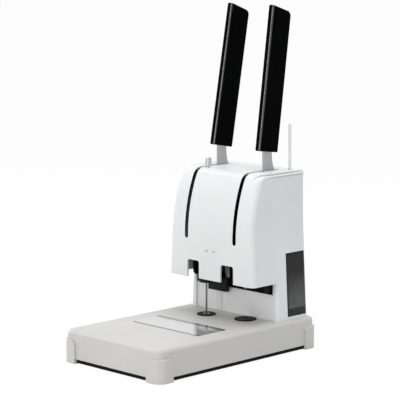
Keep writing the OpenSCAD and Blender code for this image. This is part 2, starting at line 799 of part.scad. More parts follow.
module column_frame() {
    web_top = pivot_z - tip_r - 5;
    color([0.05, 0.05, 0.05])
        difference() {
            union() {
                translate([-side_x - side_t, web_y, base_top])
                    cube([2 * (side_x + side_t), web_t, web_top - base_top]);
                translate([-side_x - side_t, web_y, base_top])
                    cube([side_t + side_x + bin_x - 4, back_y - web_y + 12, 4]);
                translate([-side_x - side_t, back_y, bin_top + 8])
                    cube([2 * (side_x + side_t), web_t, bridge_z + bridge_t - bin_top - 8]);
                side_plate(-side_x - side_t, side_t)
                    polygon(concat([[web_y, base_top], [back_y + web_t, base_top]],
                        plate_edge(head_z - 7.5, 8)));
                side_plate(side_x, side_t)
                    polygon(concat([[web_y, base_top], [web_y + web_t, base_top], [web_y + web_t, bin_top + 8],
                        [back_y + web_t, bin_top + 8]], plate_edge(head_z - 15.5, 3)));
            }
            translate([-side_x - side_t - 1, pivot_y, pivot_z])
                rotate([0, 90, 0])
                    cylinder(r = shaft_r, h = 2 * (side_x + side_t) + 2);
        }
}

module top_bridge() {
    color([0.35, 0.36, 0.38])
        difference() {
            union() {
                translate([-arm_in + 4, drill_rod_y - 8, bridge_z])
                    cube([2 * arm_in - 8, back_y - drill_rod_y + 8, bridge_t]);
                pin(post_x, post_y, bridge_z, post_r + 1.6, bridge_t);
                translate([post_x, post_y - post_r - 1.6, bridge_z])
                    cube([12, 16, bridge_t]);
            }
            for (x = drill_rods)
                pin(x, drill_rod_y, bridge_z - 1, rod_r, bridge_t + 2);
            for (x = rivet_rods)
                pin(x, rivet_rod_y, bridge_z - 1, rod_r, bridge_t + 2);
            pin(post_x, post_y, bridge_z - 1, post_r + run_fit, bridge_t + 2);
        }
}

module guide_rods() {
    color([0.7, 0.7, 0.72]) {
        for (x = drill_rods)
            pin(x, drill_rod_y, shelf_z, rod_r, bridge_z + bridge_t - shelf_z);
        for (x = rivet_rods)
            pin(x, rivet_rod_y, shelf_z, rod_r, bridge_z + bridge_t - shelf_z);
    }
}

module drill_guide() {
    w = 2 * (drill_rod_dx + rod_r + 1.5);
    color([0.03, 0.03, 0.03])
        difference() {
            union() {
                translate([drill_x - w / 2, drill_rod_y - guide_front, shelf_z])
                    cube([w, web_y - drill_rod_y + guide_front, shelf_t]);
                translate([drill_x - apron_w / 2, drill_rod_y - guide_front, shelf_z - apron_h])
                    cube([apron_w, apron_t, apron_h]);
                translate([drill_x - 7, drill_y, shelf_top - 4.5])
                    cube([14, drill_rod_y - guide_front + 1 - drill_y, 4.5]);
                pin(drill_x, drill_y, shelf_top - 4.5, 11.5, 4.5);
            }
            for (x = drill_rods)
                pin(x, drill_rod_y, shelf_z - 1, rod_r, shelf_t + 2);
            pin(drill_x, drill_y, shelf_top - 6, bit_r + 0.3, 8);
        }
}

module rivet_guide() {
    w = 2 * (rivet_rod_dx + rod_r + 3);
    color([0.03, 0.03, 0.03])
        difference() {
            translate([rivet_rod_mid - w / 2, rivet_rod_y - 9, shelf_z])
                cube([w, web_y - rivet_rod_y + 9, shelf_t]);
            for (x = rivet_rods)
                pin(x, rivet_rod_y, shelf_z - 1, rod_r, shelf_t + 2);
        }
}

module lever_shaft() {
    color([0.65, 0.65, 0.68])
        translate([-side_x - side_t - 3, pivot_y, pivot_z])
            rotate([0, 90, 0])
                cylinder(r = shaft_r, h = 2 * (side_x + side_t + 3));
}

module shaft_collar(x0, x1) {
    translate([x0, pivot_y, pivot_z])
        rotate([0, 90, 0])
            difference() {
                cylinder(r = shaft_r + 2, h = x1 - x0);
                translate([0, 0, -1])
                    cylinder(r = shaft_r, h = x1 - x0 + 2);
            }
}

module shaft_collars() {
    color([0.5, 0.5, 0.52]) {
        shaft_collar(-side_x, drill_sector_x - 0.3);
        shaft_collar(-arm_in + 0.3, rivet_sector_x - 0.3);
        shaft_collar(arm_out + 0.3, side_x);
    }
}

module drill_lever() {
    color([0.6, 0.6, 0.62])
        lever_arm(-lever_x, 0);
}

module drill_sector() {
    color([0.45, 0.45, 0.47]) {
        lever_sector(drill_sector_x);
        translate([drill_sector_x + sector_t, pivot_y, pivot_z])
            rotate([0, 90, 0])
                difference() {
                    cylinder(r = hub_r - 4, h = 0.8);
                    translate([0, 0, -1])
                        cylinder(r = shaft_r + run_fit, h = 3);
                }
    }
}

module drill_grip() {
    color([0.02, 0.02, 0.02])
        lever_grip(-lever_x, 0);
}

module rivet_lever() {
    color([0.6, 0.6, 0.62])
        lever_arm(lever_x, rivet_lean);
}

module rivet_sector() {
    color([0.45, 0.45, 0.47]) {
        lever_sector(rivet_sector_x);
        translate([rivet_sector_x + sector_t, pivot_y, pivot_z])
            rotate([0, 90, 0])
                difference() {
                    cylinder(r = hub_r - 4, h = 0.5);
                    translate([0, 0, -1])
                        cylinder(r = shaft_r + run_fit, h = 3);
                }
    }
}

module rivet_grip() {
    color([0.02, 0.02, 0.02])
        lever_grip(lever_x, rivet_lean);
}

module drill_carriage() {
    left = drill_rods[0] - 8;
    right = drill_rods[1] + 9;
    color([0.62, 0.63, 0.65])
        difference() {
            union() {
                translate([left, drill_rod_y - 8, block_z])
                    cube([right - left, 18, block_h]);
                pin(drill_x, drill_y, housing_z, housing_r, housing_h);
                translate([drill_x - 8, drill_y, block_z])
                    cube([16, drill_rod_y - 7 - drill_y, housing_z + housing_h - block_z]);
                translate([drill_x, motor_y - 12, motor_plate_z])
                    cube([motor_dx, 24, motor_plate_t]);
                pin(motor_x, motor_y, motor_plate_z, motor_r, motor_plate_t);
                translate([drill_sector_x + sector_t, rack_front, pivot_z - 12])
                    cube([left + 2 - drill_sector_x - sector_t, drill_rod_y - 4 - rack_front, 16]);
            }
            for (x = drill_rods)
                pin(x, drill_rod_y, block_z - 1, bush_r, block_h + 2);
            pin(drill_x, drill_y, housing_z - 1, bearing_r, housing_h + 2);
            pin(motor_x, motor_y, motor_plate_z - 1, 4, motor_plate_t + 2);
            translate([drill_sector_x - 1, rack_y - 1.25 * tooth_m, pivot_z - 13])
                cube([left - drill_sector_x, 30, 18]);
        }
}

module drill_bushes() {
    color([0.72, 0.55, 0.25])
        for (x = drill_rods)
            sleeve(x, drill_rod_y, block_z, bush_r, rod_r + run_fit, block_h);
}

module drill_rack() {
    color([0.45, 0.45, 0.47])
        side_plate(drill_sector_x, sector_t)
            rack_outline();
}

module spindle_bearings() {
    color([0.7, 0.7, 0.72])
        for (z = [housing_z + 1, housing_z + housing_h - 7])
            sleeve(drill_x, drill_y, z, bearing_r, spindle_r + run_fit, 6);
}

module drill_motor() {
    color([0.06, 0.06, 0.07]) {
        difference() {
            pin(motor_x, motor_y, motor_plate_z - motor_h, motor_r - 0.5, motor_h);
            pin(motor_x, motor_y, motor_plate_z - 8, 2.05, 10);
        }
        sleeve(motor_x, motor_y, motor_plate_z, 4, 2.05, motor_plate_t);
    }
}

// outline of a belt run round the two pulleys
module belt_outline(grow) {
    hull() {
        circle(r = pulley_r + grow);
        translate([norm([motor_dx, motor_dy]), 0])
            circle(r = motor_pulley_r + grow);
    }
}

module drill_belt() {
    color([0.05, 0.05, 0.05])
        translate([drill_x, drill_y, pulley_z + 1.6])
            rotate(atan2(motor_dy, motor_dx))
                linear_extrude(pulley_h - 3.2)
                    difference() {
                        belt_outline(1.35);
                        belt_outline(0.15);
                    }
}

module drill_spindle() {
    color([0.72, 0.72, 0.74])
        sleeve(drill_x, drill_y, chuck_z + chuck_h, spindle_r, bore_r, spindle_top - chuck_z - chuck_h);
}

module drill_chuck() {
    color([0.2, 0.2, 0.21])
        translate([drill_x, drill_y, chuck_z])
            rotate_extrude()
                polygon([[bit_r, 0], [chuck_r - 5, 0], [chuck_r, 5], [chuck_r, chuck_h], [bit_r, chuck_h]]);
}

module drill_bit() {
    color([0.75, 0.75, 0.76])
        translate([drill_x, drill_y, tip_z])
            rotate_extrude()
                polygon([[bore_r, 0], [bit_r - 0.3, 0], [bit_r, 1], [bit_r, chuck_z + chuck_h - tip_z],
                    [bore_r, chuck_z + chuck_h - tip_z]]);
}

module grooved_pulley(x, y, r, bore) {
    translate([x, y, pulley_z])
        rotate_extrude()
            polygon([[bore, 0], [r + 1.5, 0], [r + 1.5, 1], [r, 1.3], [r, pulley_h - 1.3], [r + 1.5, pulley_h - 1],
                [r + 1.5, pulley_h], [bore, pulley_h]]);
}

module drill_pulley() {
    color([0.55, 0.55, 0.57])
        grooved_pulley(drill_x, drill_y, pulley_r, spindle_r);
}

module motor_pulley() {
    color([0.55, 0.55, 0.57]) {
        grooved_pulley(motor_x, motor_y, motor_pulley_r, 1.9);
        pin(motor_x, motor_y, motor_plate_z - 6, 2, pulley_z + pulley_h - motor_plate_z + 6);
    }
}

module rivet_carriage() {
    left = rivet_rods[0] - rivet_block_d / 2;
    right = rivet_sector_x - 0.4;
    color([0.62, 0.63, 0.65])
        difference() {
            union() {
                translate([left, rivet_rod_y - rivet_block_d / 2, block_z])
                    cube([right - left, rivet_block_d, block_h]);
                pin(rivet_x, rivet_y, rack_low - 20, 10, 19);
                translate([rivet_x - 12, rivet_y, rack_low - 16])
                    cube([right - rivet_x + 12, rivet_rod_y - rivet_block_d / 2 + 1 - rivet_y, pivot_z + 4 - rack_low + 12]);
                translate([rivet_x - 4, rack_front, rack_low - 2])
                    cube([rivet_sector_x - rivet_x + 4, rack_y - 1.25 * tooth_m - rack_front, 14]);
            }
            for (x = rivet_rods)
                pin(x, rivet_rod_y, block_z - 1, bush_r, block_h + 2);
            pin(rivet_x, rivet_y, rack_low - 21, spindle_r, 20);
        }
}

module rivet_bushes() {
    color([0.72, 0.55, 0.25])
        for (x = rivet_rods)
            sleeve(x, rivet_rod_y, block_z, bush_r, rod_r + run_fit, block_h);
}

module rivet_rack() {
    color([0.45, 0.45, 0.47])
        side_plate(rivet_sector_x, sector_t)
            rack_outline();
}

module rivet_ram() {
    low = ram_z + 12;
    color([0.3, 0.3, 0.31])
        translate([rivet_x, rivet_y, 0])
            rotate_extrude()
                polygon([[0, ram_z], [tube_r - 0.4, ram_z], [tube_r + 0.6, ram_z + 2], [tube_r + 0.6, low],
                    [spindle_r, low], [spindle_r, rack_low - 1], [0, rack_low - 1]]);
}

module rivet_heater() {
    color([0.12, 0.12, 0.12])
        difference() {
            pin(rivet_x, rivet_y, ram_z + 13, 12, rack_low - 20 - ram_z - 13);
            pin(rivet_x, rivet_y, ram_z + 12, spindle_r, rack_low - ram_z);
        }
}

module drill_spring() {
    color([0.7, 0.7, 0.7])
        coil(drill_rods[0], drill_rod_y, shelf_top + 0.1, block_z - 0.1);
}

module rivet_spring() {
    color([0.7, 0.7, 0.7])
        coil(rivet_rods[0], rivet_rod_y, shelf_top + 0.1, block_z - 0.1);
}

module clearing_rod() {
    color([0.5, 0.5, 0.52]) {
        pin(drill_x, drill_y, pad_top + pad_gap, clear_r, lift_z + lift_t - pad_top - pad_gap);
        eye_bar([drill_x, drill_y, lift_z], [post_x, post_y, lift_z], 3, 4.6, lift_t);
        pin(post_x, post_y, lift_z, post_r, tower_top + knob_h - 4 - lift_z);
    }
}

module clearing_knob() {
    color([0.72, 0.72, 0.73])
        translate([post_x, post_y, tower_top + seam])
            rotate_extrude()
                polygon([[post_r, 0], [knob_r - 1, 0], [knob_r, 1], [knob_r, knob_h - 1], [knob_r - 1, knob_h],
                    [0, knob_h], [0, knob_h - 4 - seam], [post_r, knob_h - 4 - seam]]);
}

module indicator_lights() {
    color([0.5, 0.5, 0.5])
        for (side = [-1, 1])
            translate([side * light_x, tower_front - 0.4, head_z + light_rise])
                rotate([-90, 0, 0]) {
                    linear_extrude(shell_t + 0.4)
                        round_plate(light_w - 0.2, light_h - 0.2, light_h / 2 - 0.2);
                    translate([0, 0, shell_t + 0.4])
                        linear_extrude(2)
                            round_plate(light_w + 2, light_h + 2, light_h / 2);
                }
}

module chip_bin() {
    color([0.2, 0.2, 0.22])
        difference() {
            intersection() {
                tower_core(bin_z, bin_top, bin_y, 0);
                translate([bin_x + bin_gap, bin_y, 0])
                    cube([tower_half_low, tower_d, tower_top]);
            }
            intersection() {
                tower_core(bin_z + bin_floor, bin_top + 1, bin_y + 2, 2);
                translate([bin_x + bin_gap + 2, bin_y + 2, 0])
                    cube([tower_half_low, tower_d, tower_top]);
            }
        }
}

module bin_shelf() {
    color([0.7, 0.7, 0.72])
        intersection() {
            tower_core(base_top, bin_z - seam, bin_y, shell_t + 0.2);
            translate([bin_x, bin_y, base_top])
                cube([tower_half_low, tower_d, bin_low - seam]);
        }
}

module tube_guide() {
    low = tube_z - 4;
    color([0.4, 0.4, 0.42])
        difference() {
            union() {
                pin(tube_x, tube_y, low, tube_r + 1.9, shoulder_z - shell_t - seam - low);
                translate([tube_x - tube_arm_w / 2, back_y + web_t, tube_z + tube_arm_rise])
                    cube([tube_arm_w, tube_y - back_y - web_t, tube_arm_h]);
            }
            pin(tube_x, tube_y, tube_z, tube_r + run_fit, tower_top);
        }
}

module rivet_tube() {
    color([0.95, 0.95, 0.95])
        sleeve(tube_x, tube_y, tube_z, tube_r, tube_bore, tube_l);
}

module power_inlet() {
    color([0.05, 0.05, 0.05])
        translate([inlet_x, tower_rear, inlet_z]) {
            difference() {
                union() {
                    translate([-13.8, -20, -9.8])
                        cube([27.6, 20, 19.6]);
                    translate([-17, 0, -12])
                        cube([34, 2, 24]);
                }
                translate([-12, -16, -8])
                    cube([24, 20, 16]);
            }
            for (p = [[-7, -2], [0, 3], [7, -2]])
                translate([p[0] - 1, -17, p[1] - 2])
                    cube([2, 13, 4]);
        }
}

module switch_frame() {
    color([0.05, 0.05, 0.05])
        translate([switch_x, tower_rear, inlet_z])
            difference() {
                union() {
                    translate([-9.3, -16, -6.3])
                        cube([18.6, 16, 12.6]);
                    translate([-10.5, 0, -7.5])
                        cube([21, 1.6, 15]);
                }
                translate([-8, -10, -5])
                    cube([16, 20, 10]);
                translate([0, -3, 0])
                    rotate([0, 90, 0])
                        cylinder(r = 1.25 + run_fit, h = 17.6, center = true);
            }
}

module switch_rocker() {
    color([0.1, 0.1, 0.1])
        translate([switch_x, tower_rear - 3, inlet_z]) {
            side_plate(-7.6, 15.2)
                polygon([[-2, -3.2], [5, -3.9], [4.2, 0], [3.6, 3.9], [-2, 3.2]]);
            rotate([0, 90, 0])
                cylinder(r = 1.25, h = 17, center = true);
        }
}

base_plate();
base_shell();
corner_guards();
rubber_feet();
standoffs();
drill_pad();
drill_ring();
rivet_pad();
throat_wall();
rear_cover();
front_cover();
column_frame();
top_bridge();
guide_rods();
drill_guide();
rivet_guide();
lever_shaft();
shaft_collars();
drill_lever();
drill_sector();
drill_grip();
rivet_lever();
rivet_sector();
rivet_grip();
drill_carriage();
drill_bushes();
drill_rack();
spindle_bearings();
drill_motor();
drill_belt();
drill_spindle();
drill_chuck();
drill_bit();
drill_pulley();
motor_pulley();
rivet_carriage();
rivet_bushes();
rivet_rack();
rivet_ram();
rivet_heater();
drill_spring();
rivet_spring();
clearing_rod();
clearing_knob();
indicator_lights();
chip_bin();
bin_shelf();
tube_guide();
rivet_tube();
power_inlet();
switch_frame();
switch_rocker();
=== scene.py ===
from math import acos, asin, cos, pi, radians, sin, sqrt, tan

import bmesh
import bpy
from mathutils import Matrix, Vector


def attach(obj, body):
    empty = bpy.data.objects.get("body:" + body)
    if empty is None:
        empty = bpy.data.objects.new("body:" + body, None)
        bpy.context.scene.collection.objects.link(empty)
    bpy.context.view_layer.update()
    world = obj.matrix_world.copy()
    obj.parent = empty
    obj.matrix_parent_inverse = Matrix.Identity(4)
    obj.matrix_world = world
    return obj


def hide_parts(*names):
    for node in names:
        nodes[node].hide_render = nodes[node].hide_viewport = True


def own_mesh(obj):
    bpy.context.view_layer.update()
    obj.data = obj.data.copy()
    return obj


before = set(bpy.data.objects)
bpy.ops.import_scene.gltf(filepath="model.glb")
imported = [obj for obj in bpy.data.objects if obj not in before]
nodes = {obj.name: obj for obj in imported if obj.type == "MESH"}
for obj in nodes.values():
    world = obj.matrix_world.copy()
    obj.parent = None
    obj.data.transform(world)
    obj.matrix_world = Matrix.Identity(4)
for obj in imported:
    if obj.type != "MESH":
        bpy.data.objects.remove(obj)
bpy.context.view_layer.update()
scene = bpy.context.scene

# Sizes of the binder in millimetres; every mesh is scaled to metres as it becomes a piece.
MM = 0.001
X, Y, Z = 0, 1, 2
SAME = 0.001  # lengths closer than this count as equal

BASE_Y = -1.2
BASE_W, BASE_L, BASE_TOP, BASE_LOW = 210, 342, 51, 7.8
BASE_R, BASE_EDGE = 13.5, 6
GUARD_OUT, GUARD_RUN, GUARD_LOW, GUARD_TOP = 3, 26, 0.9, 37
GUARD_EDGE, GUARD_SHOULDER = 1.8, 9
FILM_LEFT, FILM_RIGHT, FILM_NEAR, FILM_FAR = -70, 75.5, -63.5, -2
FILM_TOP, FILM_R, FILM_EDGE = BASE_TOP + 0.35, 3, 0.12

# The cover's front rises straight, leans back on a bow and turns over the nose to the top.
WALL = 2.6
REAR = BASE_Y + BASE_L / 2 - 8
FRONT = REAR - 123.8
TOP = BASE_TOP + 232
HEAD_Z = BASE_TOP + 60.5
WAIST_Z = BASE_TOP + 149
FOOT_HALF, WAIST_HALF, TOP_HALF = 96, 87.3, 86.2
BOW_Z, BOW_R, BOW_STEPS = BASE_TOP + 129, 235, 28
NOSE_R, NOSE_STEPS, NOSE_SHARE = 16.6, 14, 0.85
FADE_STEPS, FADE_STEP = 6, 2
FADE = FADE_STEPS * FADE_STEP
EDGE_R, LIP, SEAM, ROUND_STEPS = 8.4, 8.8, 0.3, 8
TOP_EDGE_R, TOP_LIP = 2.8, 3
DECK_H, DECK_IN, DECK_TAPER, DECK_EDGE = 2.4, 2.4, 4, 0.5
SHOULDER = TOP - DECK_H
REAR_R = TOP_LIP + SEAM
PANEL_TOP = SHOULDER - REAR_R - SEAM
PANEL_STEP, CORNER_R = 0.5, 6
PILLAR_Y, PILLAR_X, PILLAR_R = FRONT + 53.8, 84, 5
PARTING = 0.02  # keeps the upper and the lower panel shell apart
THROAT_Y, THROAT_HALF, THROAT_TOP = PILLAR_Y + WALL + 0.05, 88, BASE_TOP + 40.5
GROOVE_X, GROOVE_R = -37.7, 0.9
CUT_HALF = 130  # half width of the tools that cut past the sides

# Levers on the shared shaft, and their openings in the cover.
PIVOT_Y, PIVOT_Z = FRONT + 78.8, BASE_TOP + 139
LEVER_X, RIVET_LEAN = 52, 2.6
LEVERS = (("drill", -LEVER_X, 0), ("rivet", LEVER_X, RIVET_LEAN))
ARM_HALF, ARM_FOOT, ARM_T, HUB_R, BORE_R = 9.4, 14.0, 4, 16.0, 6.05
ARM_DECK, ARM_END = TOP - PIVOT_Z, TOP + 32 - PIVOT_Z
GRIP_W, GRIP_T, GRIP_LENGTH, GRIP_SLANT, GRIP_LEAN = 43, 10.5, 227, 10, -10.25
GRIP_FOOT = (0, -1.2, TOP + 30 - PIVOT_Z)
SLOT_R, SLOT_LOW, SLOT_REAR = 3.6, BASE_TOP + 122.2, PIVOT_Y + 18.9
NOTCHES, NOTCH_TOP, NOTCH_R = ((-50.05, -24.55), (22.55, 50.05)), HEAD_Z + 28, 4
LIGHT_X, LIGHT_HALF, LIGHT_LOW, LIGHT_HIGH, LIGHT_R = 7.6, 3.5, HEAD_Z + 44.5, HEAD_Z + 47.5, 1.4

# Stations, tube, bin, springs and the fittings at the rear.
DRILL = (-26.2, FRONT + 18.8)
RIVET = (42.8, FRONT + 35.8)
POST, POST_HOLE_R = (DRILL[0] - 13.4, DRILL[1] + 17.7), 2.5
TUBE, TUBE_HOLE_R = (66, REAR - 13), 3.1
KNOB_LOW, PAD_TOP = TOP + 0.3, BASE_TOP + 1.5
BIN_X, BIN_Y, BIN_LOW, BIN_TOP = 40, FRONT + 77.3, BASE_TOP + 5, BASE_TOP + 104.5
BIN_FLOOR, BIN_GAP, BIN_STEP = BIN_LOW + 12, 0.5, 0.7
COIL_R, WIRE_R, COIL_LOW, COIL_HIGH = 7.2, 0.7, BASE_TOP + 57.1, BASE_TOP + 119.2
SPRINGS = (("drill", DRILL[0] - 15.5, DRILL[1] + 34, 49.6),
           ("rivet", RIVET[0] - 31.8, RIVET[1] + 25, 46.2))
REAR_Z, INLET_X, SWITCH_X, ROCKER_HALF = BASE_TOP + 30, -55, -18, 7.6


def nose_lean(z):
    """Lean of the front where its bow meets a nose that ends at height z."""
    return asin((z - NOSE_R - BOW_Z) / (BOW_R - NOSE_R))


def nose_centre(z):
    return FRONT + BOW_R - (BOW_R - NOSE_R) * cos(nose_lean(z)), z - NOSE_R


NOSE_Y = nose_centre(SHOULDER)[0]


def half_width(z):
    """Half the tower's width: it narrows quickly up to the waist and slowly above."""
    if z < WAIST_Z:
        return FOOT_HALF + (WAIST_HALF - FOOT_HALF) * (z - BASE_TOP) / (WAIST_Z - BASE_TOP)
    return WAIST_HALF + (TOP_HALF - WAIST_HALF) * (z - WAIST_Z) / (TOP - WAIST_Z)


# ---------------------------------------------------------------- finishes

class Wire:
    """An output of a shader node; sums and products of wires add Math nodes."""

    def __init__(self, coat, socket):
        self.coat, self.socket = coat, socket

    def math(self, operation, first, second):
        return self.coat.add("ShaderNodeMath", {"operation": operation}, {0: first, 1: second})

    def __add__(self, other):
        return self.math("ADD", self, other)

    def __radd__(self, other):
        return self.math("ADD", other, self)

    def __sub__(self, other):
        return self.math("SUBTRACT", self, other)

    def __rsub__(self, other):
        return self.math("SUBTRACT", other, self)

    def __mul__(self, other):
        return self.math("MULTIPLY", self, other)

    def __rmul__(self, other):
        return self.math("MULTIPLY", other, self)


class Coat:
    """The shader nodes of one finish."""

    def __init__(self, tree):
        self.tree = tree

    @classmethod
    def named(cls, name):
        material = bpy.data.materials.new(name)
        material.use_nodes = True
        coat = cls(material.node_tree)
        coat.material = material
        coat.shader = coat.tree.nodes["Principled BSDF"]
        coat.place = coat.add("ShaderNodeTexCoord", out="Object")
        return coat

    def add(self, kind, settings=(), sockets=(), out=0):
        node = self.tree.nodes.new(kind)
        for key, setting in dict(settings).items():
            setattr(node, key, setting)
        self.feed(node, dict(sockets))
        return Wire(self, node.outputs[out])

    def feed(self, node, sockets):
        for key, value in sockets.items():
            if isinstance(value, Wire):
                self.tree.links.new(value.socket, node.inputs[key])
            else:
                node.inputs[key].default_value = value

    def noise(self, scale, detail=2, stretch=(1, 1, 1)):
        place = self.add("ShaderNodeMapping", (), {"Vector": self.place, "Scale": stretch})
        return self.add("ShaderNodeTexNoise", (), {"Vector": place, "Scale": scale, "Detail": detail})

    def cells(self, scale):
        return self.add("ShaderNodeTexVoronoi", (), {"Vector": self.place, "Scale": scale}, "Distance")

    def ramp(self, value, low, high, start=0.0, end=1.0):
        return self.add("ShaderNodeMapRange", (), {0: value, 1: low, 2: high, 3: start, 4: end})

    def rise(self, axis, start, end):
        """Goes from 0 to 1 between two millimetre marks along an axis of the part."""
        return self.ramp(self.add("ShaderNodeSeparateXYZ", (), {0: self.place}, axis), MM * start, MM * end)

    def blend(self, mask, first, second):
        return self.add("ShaderNodeMix", {"data_type": "RGBA"}, {0: mask, 6: first, 7: second}, 2)

    def mottle(self, noise, first, second):
        """Soft patches of two tones, from a noise that keeps near one half."""
        return self.blend(self.ramp(noise, 0.35, 0.65), first, second)

    def relief(self, height, distance, strength):
        sockets = {"Height": height, "Distance": distance, "Strength": strength}
        return self.add("ShaderNodeBump", (), sockets, "Normal")

    def shade(self, **sockets):
        self.feed(self.shader, {key.replace("_", " "): value for key, value in sockets.items()})
        return self.material


def tint(level, warm=0.0):
    return (level * (1 + warm), level, level * (1 - warm), 1)


def swing(noise, amount):
    """A noise round one half as a swing round nothing."""
    return (noise - 0.5) * amount


def moulded(name, level, warm=0.0, rough=0.42, grain=1500, depth=0.00003, spread=0.03, **more):
    coat = Coat.named(name)
    broad, fine, fleck = coat.noise(11, 3), coat.noise(grain), coat.noise(420, 3)
    tone = coat.mottle(broad * 0.7 + fleck * 0.3, tint(level * (1 - spread), warm),
                       tint(level * (1 + spread), warm))
    return coat.shade(Base_Color=tone, Roughness=rough + swing(broad, 0.12) + swing(fine, 0.1),
                      Normal=coat.relief(fine, depth, 0.35), **more)


def powder(name, level, rough=0.5, gloss=0.15):
    coat = Coat.named(name)
    broad, lumps = coat.noise(14, 3), coat.cells(900)
    tone = coat.mottle(broad, tint(level * 0.8), tint(level * 1.25))
    return coat.shade(Base_Color=tone, Roughness=rough + swing(broad, 0.2) + (lumps - 0.4) * 0.15,
                      Normal=coat.relief(lumps, 0.00006, 0.4), Specular_IOR_Level=gloss)


def metal(name, level, rough=0.3, warm=0.0, stretch=(1, 1, 0.03), scale=900, bright=1.0):
    coat = Coat.named(name)
    lines, broad = coat.noise(scale, 3, stretch), coat.noise(16, 3)
    tone = coat.mottle(lines * 0.6 + broad * 0.4, tint(level * 0.84, warm), tint(level * 1.1, warm))
    return coat.shade(Base_Color=tone, Metallic=bright, Normal=coat.relief(lines, 0.00003, 0.3),
                      Roughness=rough + swing(lines, 0.16) + swing(broad, 0.12))


def covered_grip():
    """Black covering with fine pores; the long front edge is worn to a polish."""
    coat = Coat.named("grip_cover")
    pores, creases, broad = coat.cells(620), coat.noise(240, 4), coat.noise(12, 3)
    tone = coat.mottle(broad * 0.5 + creases * 0.5, tint(0.0008, -0.1), tint(0.0018, -0.1))
    polish = coat.add("ShaderNodeAttribute", {"attribute_name": "polish"}, out="Fac")
    return coat.shade(Base_Color=tone, Roughness=0.2 + swing(broad, 0.1) + swing(creases, 0.1),
                      Normal=coat.relief(pores * 0.7 + creases * 0.3, 0.00003, 0.2),
                      Specular_IOR_Level=0.012, Coat_Weight=polish * (0.8 + swing(broad, 0.3)),
                      Coat_Roughness=0.1, Coat_IOR=2.0)


def smoked():
    """Smoked clear plastic, lighter in patches towards the bin's floor and darker along its edges."""
    coat = Coat.named("smoked_bin")
    broad, haze = coat.noise(18, 4), coat.noise(240)
    lift_near_floor = (coat.rise("Z", BIN_FLOOR + 57, BIN_FLOOR + 2) * coat.rise("Z", BIN_FLOOR - 0.8, BIN_FLOOR + 1.2)
            * coat.ramp(broad, 0.1, 0.6))
    rim = coat.rise("Y", BIN_Y + 4, BIN_Y + 3) + coat.rise("Z", BIN_TOP - 3.8, BIN_TOP - 2.8)
    inner = coat.blend(lift_near_floor, tint(0.012, -0.03), tint(0.13, -0.02))
    return coat.shade(Base_Color=coat.blend(rim, inner, tint(0.003)),
                      Roughness=0.16 + swing(broad, 0.1) + swing(haze, 0.04),
                      Normal=coat.relief(haze, 0.00002, 0.15), Alpha=0.92 + swing(broad, 0.06),
                      Specular_IOR_Level=0.24)


def glossy_film():
    """Glossy sheet with a dark border along its near and far edges."""
    coat = Coat.named("guide_film")
    broad, fine = coat.noise(30, 3), coat.noise(900)
    border = (coat.rise("Y", FILM_NEAR + 4.0, FILM_NEAR + 3.4)
              + coat.rise("Y", FILM_FAR - 11.1, FILM_FAR - 10.5))
    clear = coat.mottle(broad, tint(0.357), tint(0.403))
    return coat.shade(Base_Color=coat.blend(border, clear, tint(0.02)),
                      Roughness=0.08 + swing(broad, 0.06) + swing(fine, 0.03),
                      Normal=coat.relief(broad, 0.0004, 0.1), Specular_IOR_Level=0.5,
                      Coat_Weight=1 - border * 0.6, Coat_Roughness=0.08, Coat_IOR=2.0)


def lamp_lens():
    coat = Coat.named("lamp_lens")
    prisms, broad = coat.cells(1300), coat.noise(300)
    tone = coat.blend(coat.ramp(prisms, 0.1, 0.6), tint(0.42), tint(0.58))
    return coat.shade(Base_Color=tone, Roughness=0.18 + swing(broad, 0.1),
                      Normal=coat.relief(prisms, 0.0001, 0.4))


def cast_nylon():
    coat = Coat.named("cast_nylon")
    flow, fine = coat.noise(260, 3, (1, 1, 0.05)), coat.noise(1200)
    return coat.shade(Base_Color=coat.mottle(flow, tint(0.86), tint(0.92)),
                      Roughness=0.36 + swing(fine, 0.16), Normal=coat.relief(flow, 0.00003, 0.3),
                      Alpha=0.42 + swing(flow, 0.2))


base_paint = moulded("base_moulding", 0.575, 0.010)
guard_paint = moulded("guard_moulding", 0.575, 0.010, 0.46)
head_paint = moulded("head_moulding", 0.80, -0.008, 0.38)
# Near-black painted shade for the inner faces and slot walls of the head cover, which are really its white
# moulding lying in shade.
painted_shade_inside = powder("shielded_inside", 0.006, 0.6)
panel_paint = moulded("panel_moulding", 0.78, -0.012, 0.42)
wall_paint = moulded("wall_moulding", 0.80, 0.0, 0.46)
black_coat = powder("black_powder_coat", 0.008)
plate_coat = powder("black_plate_coat", 0.004, 0.6, gloss=0.08)
screw_black = metal("blacked_screw", 0.03, 0.36)
black_moulding = moulded("black_moulding", 0.012, 0.0, 0.4, spread=0.2, Specular_IOR_Level=0.2)
pad_moulding = moulded("pad_moulding", 0.005, 0.0, 0.4, 700, 0.00005, 0.2, Specular_IOR_Level=0.03)
foot_rubber = moulded("foot_rubber", 0.02, 0.0, 0.75, 800, 0.00008, 0.2, Specular_IOR_Level=0.2)
ground_steel = metal("ground_steel", 0.42, 0.26)
rod_steel = metal("blued_rod", 0.16, 0.34)
dark_steel = metal("oiled_steel", 0.05, 0.4)
arm_zinc = metal("zinc_plated_arm", 0.40, 0.36, -0.01, (1, 1, 0.05), 1100, 0.85)
turned_alloy = metal("turned_alloy", 0.52, 0.34, 0.0, (0.03, 0.03, 1), 1400)
guide_brass = metal("guide_brass", 0.42, 0.36, 0.24)
spring_steel = metal("spring_steel", 0.2, 0.36)
grip_cover = covered_grip()
bin_smoke = smoked()
film_gloss = glossy_film()
lens = lamp_lens()
nylon = cast_nylon()

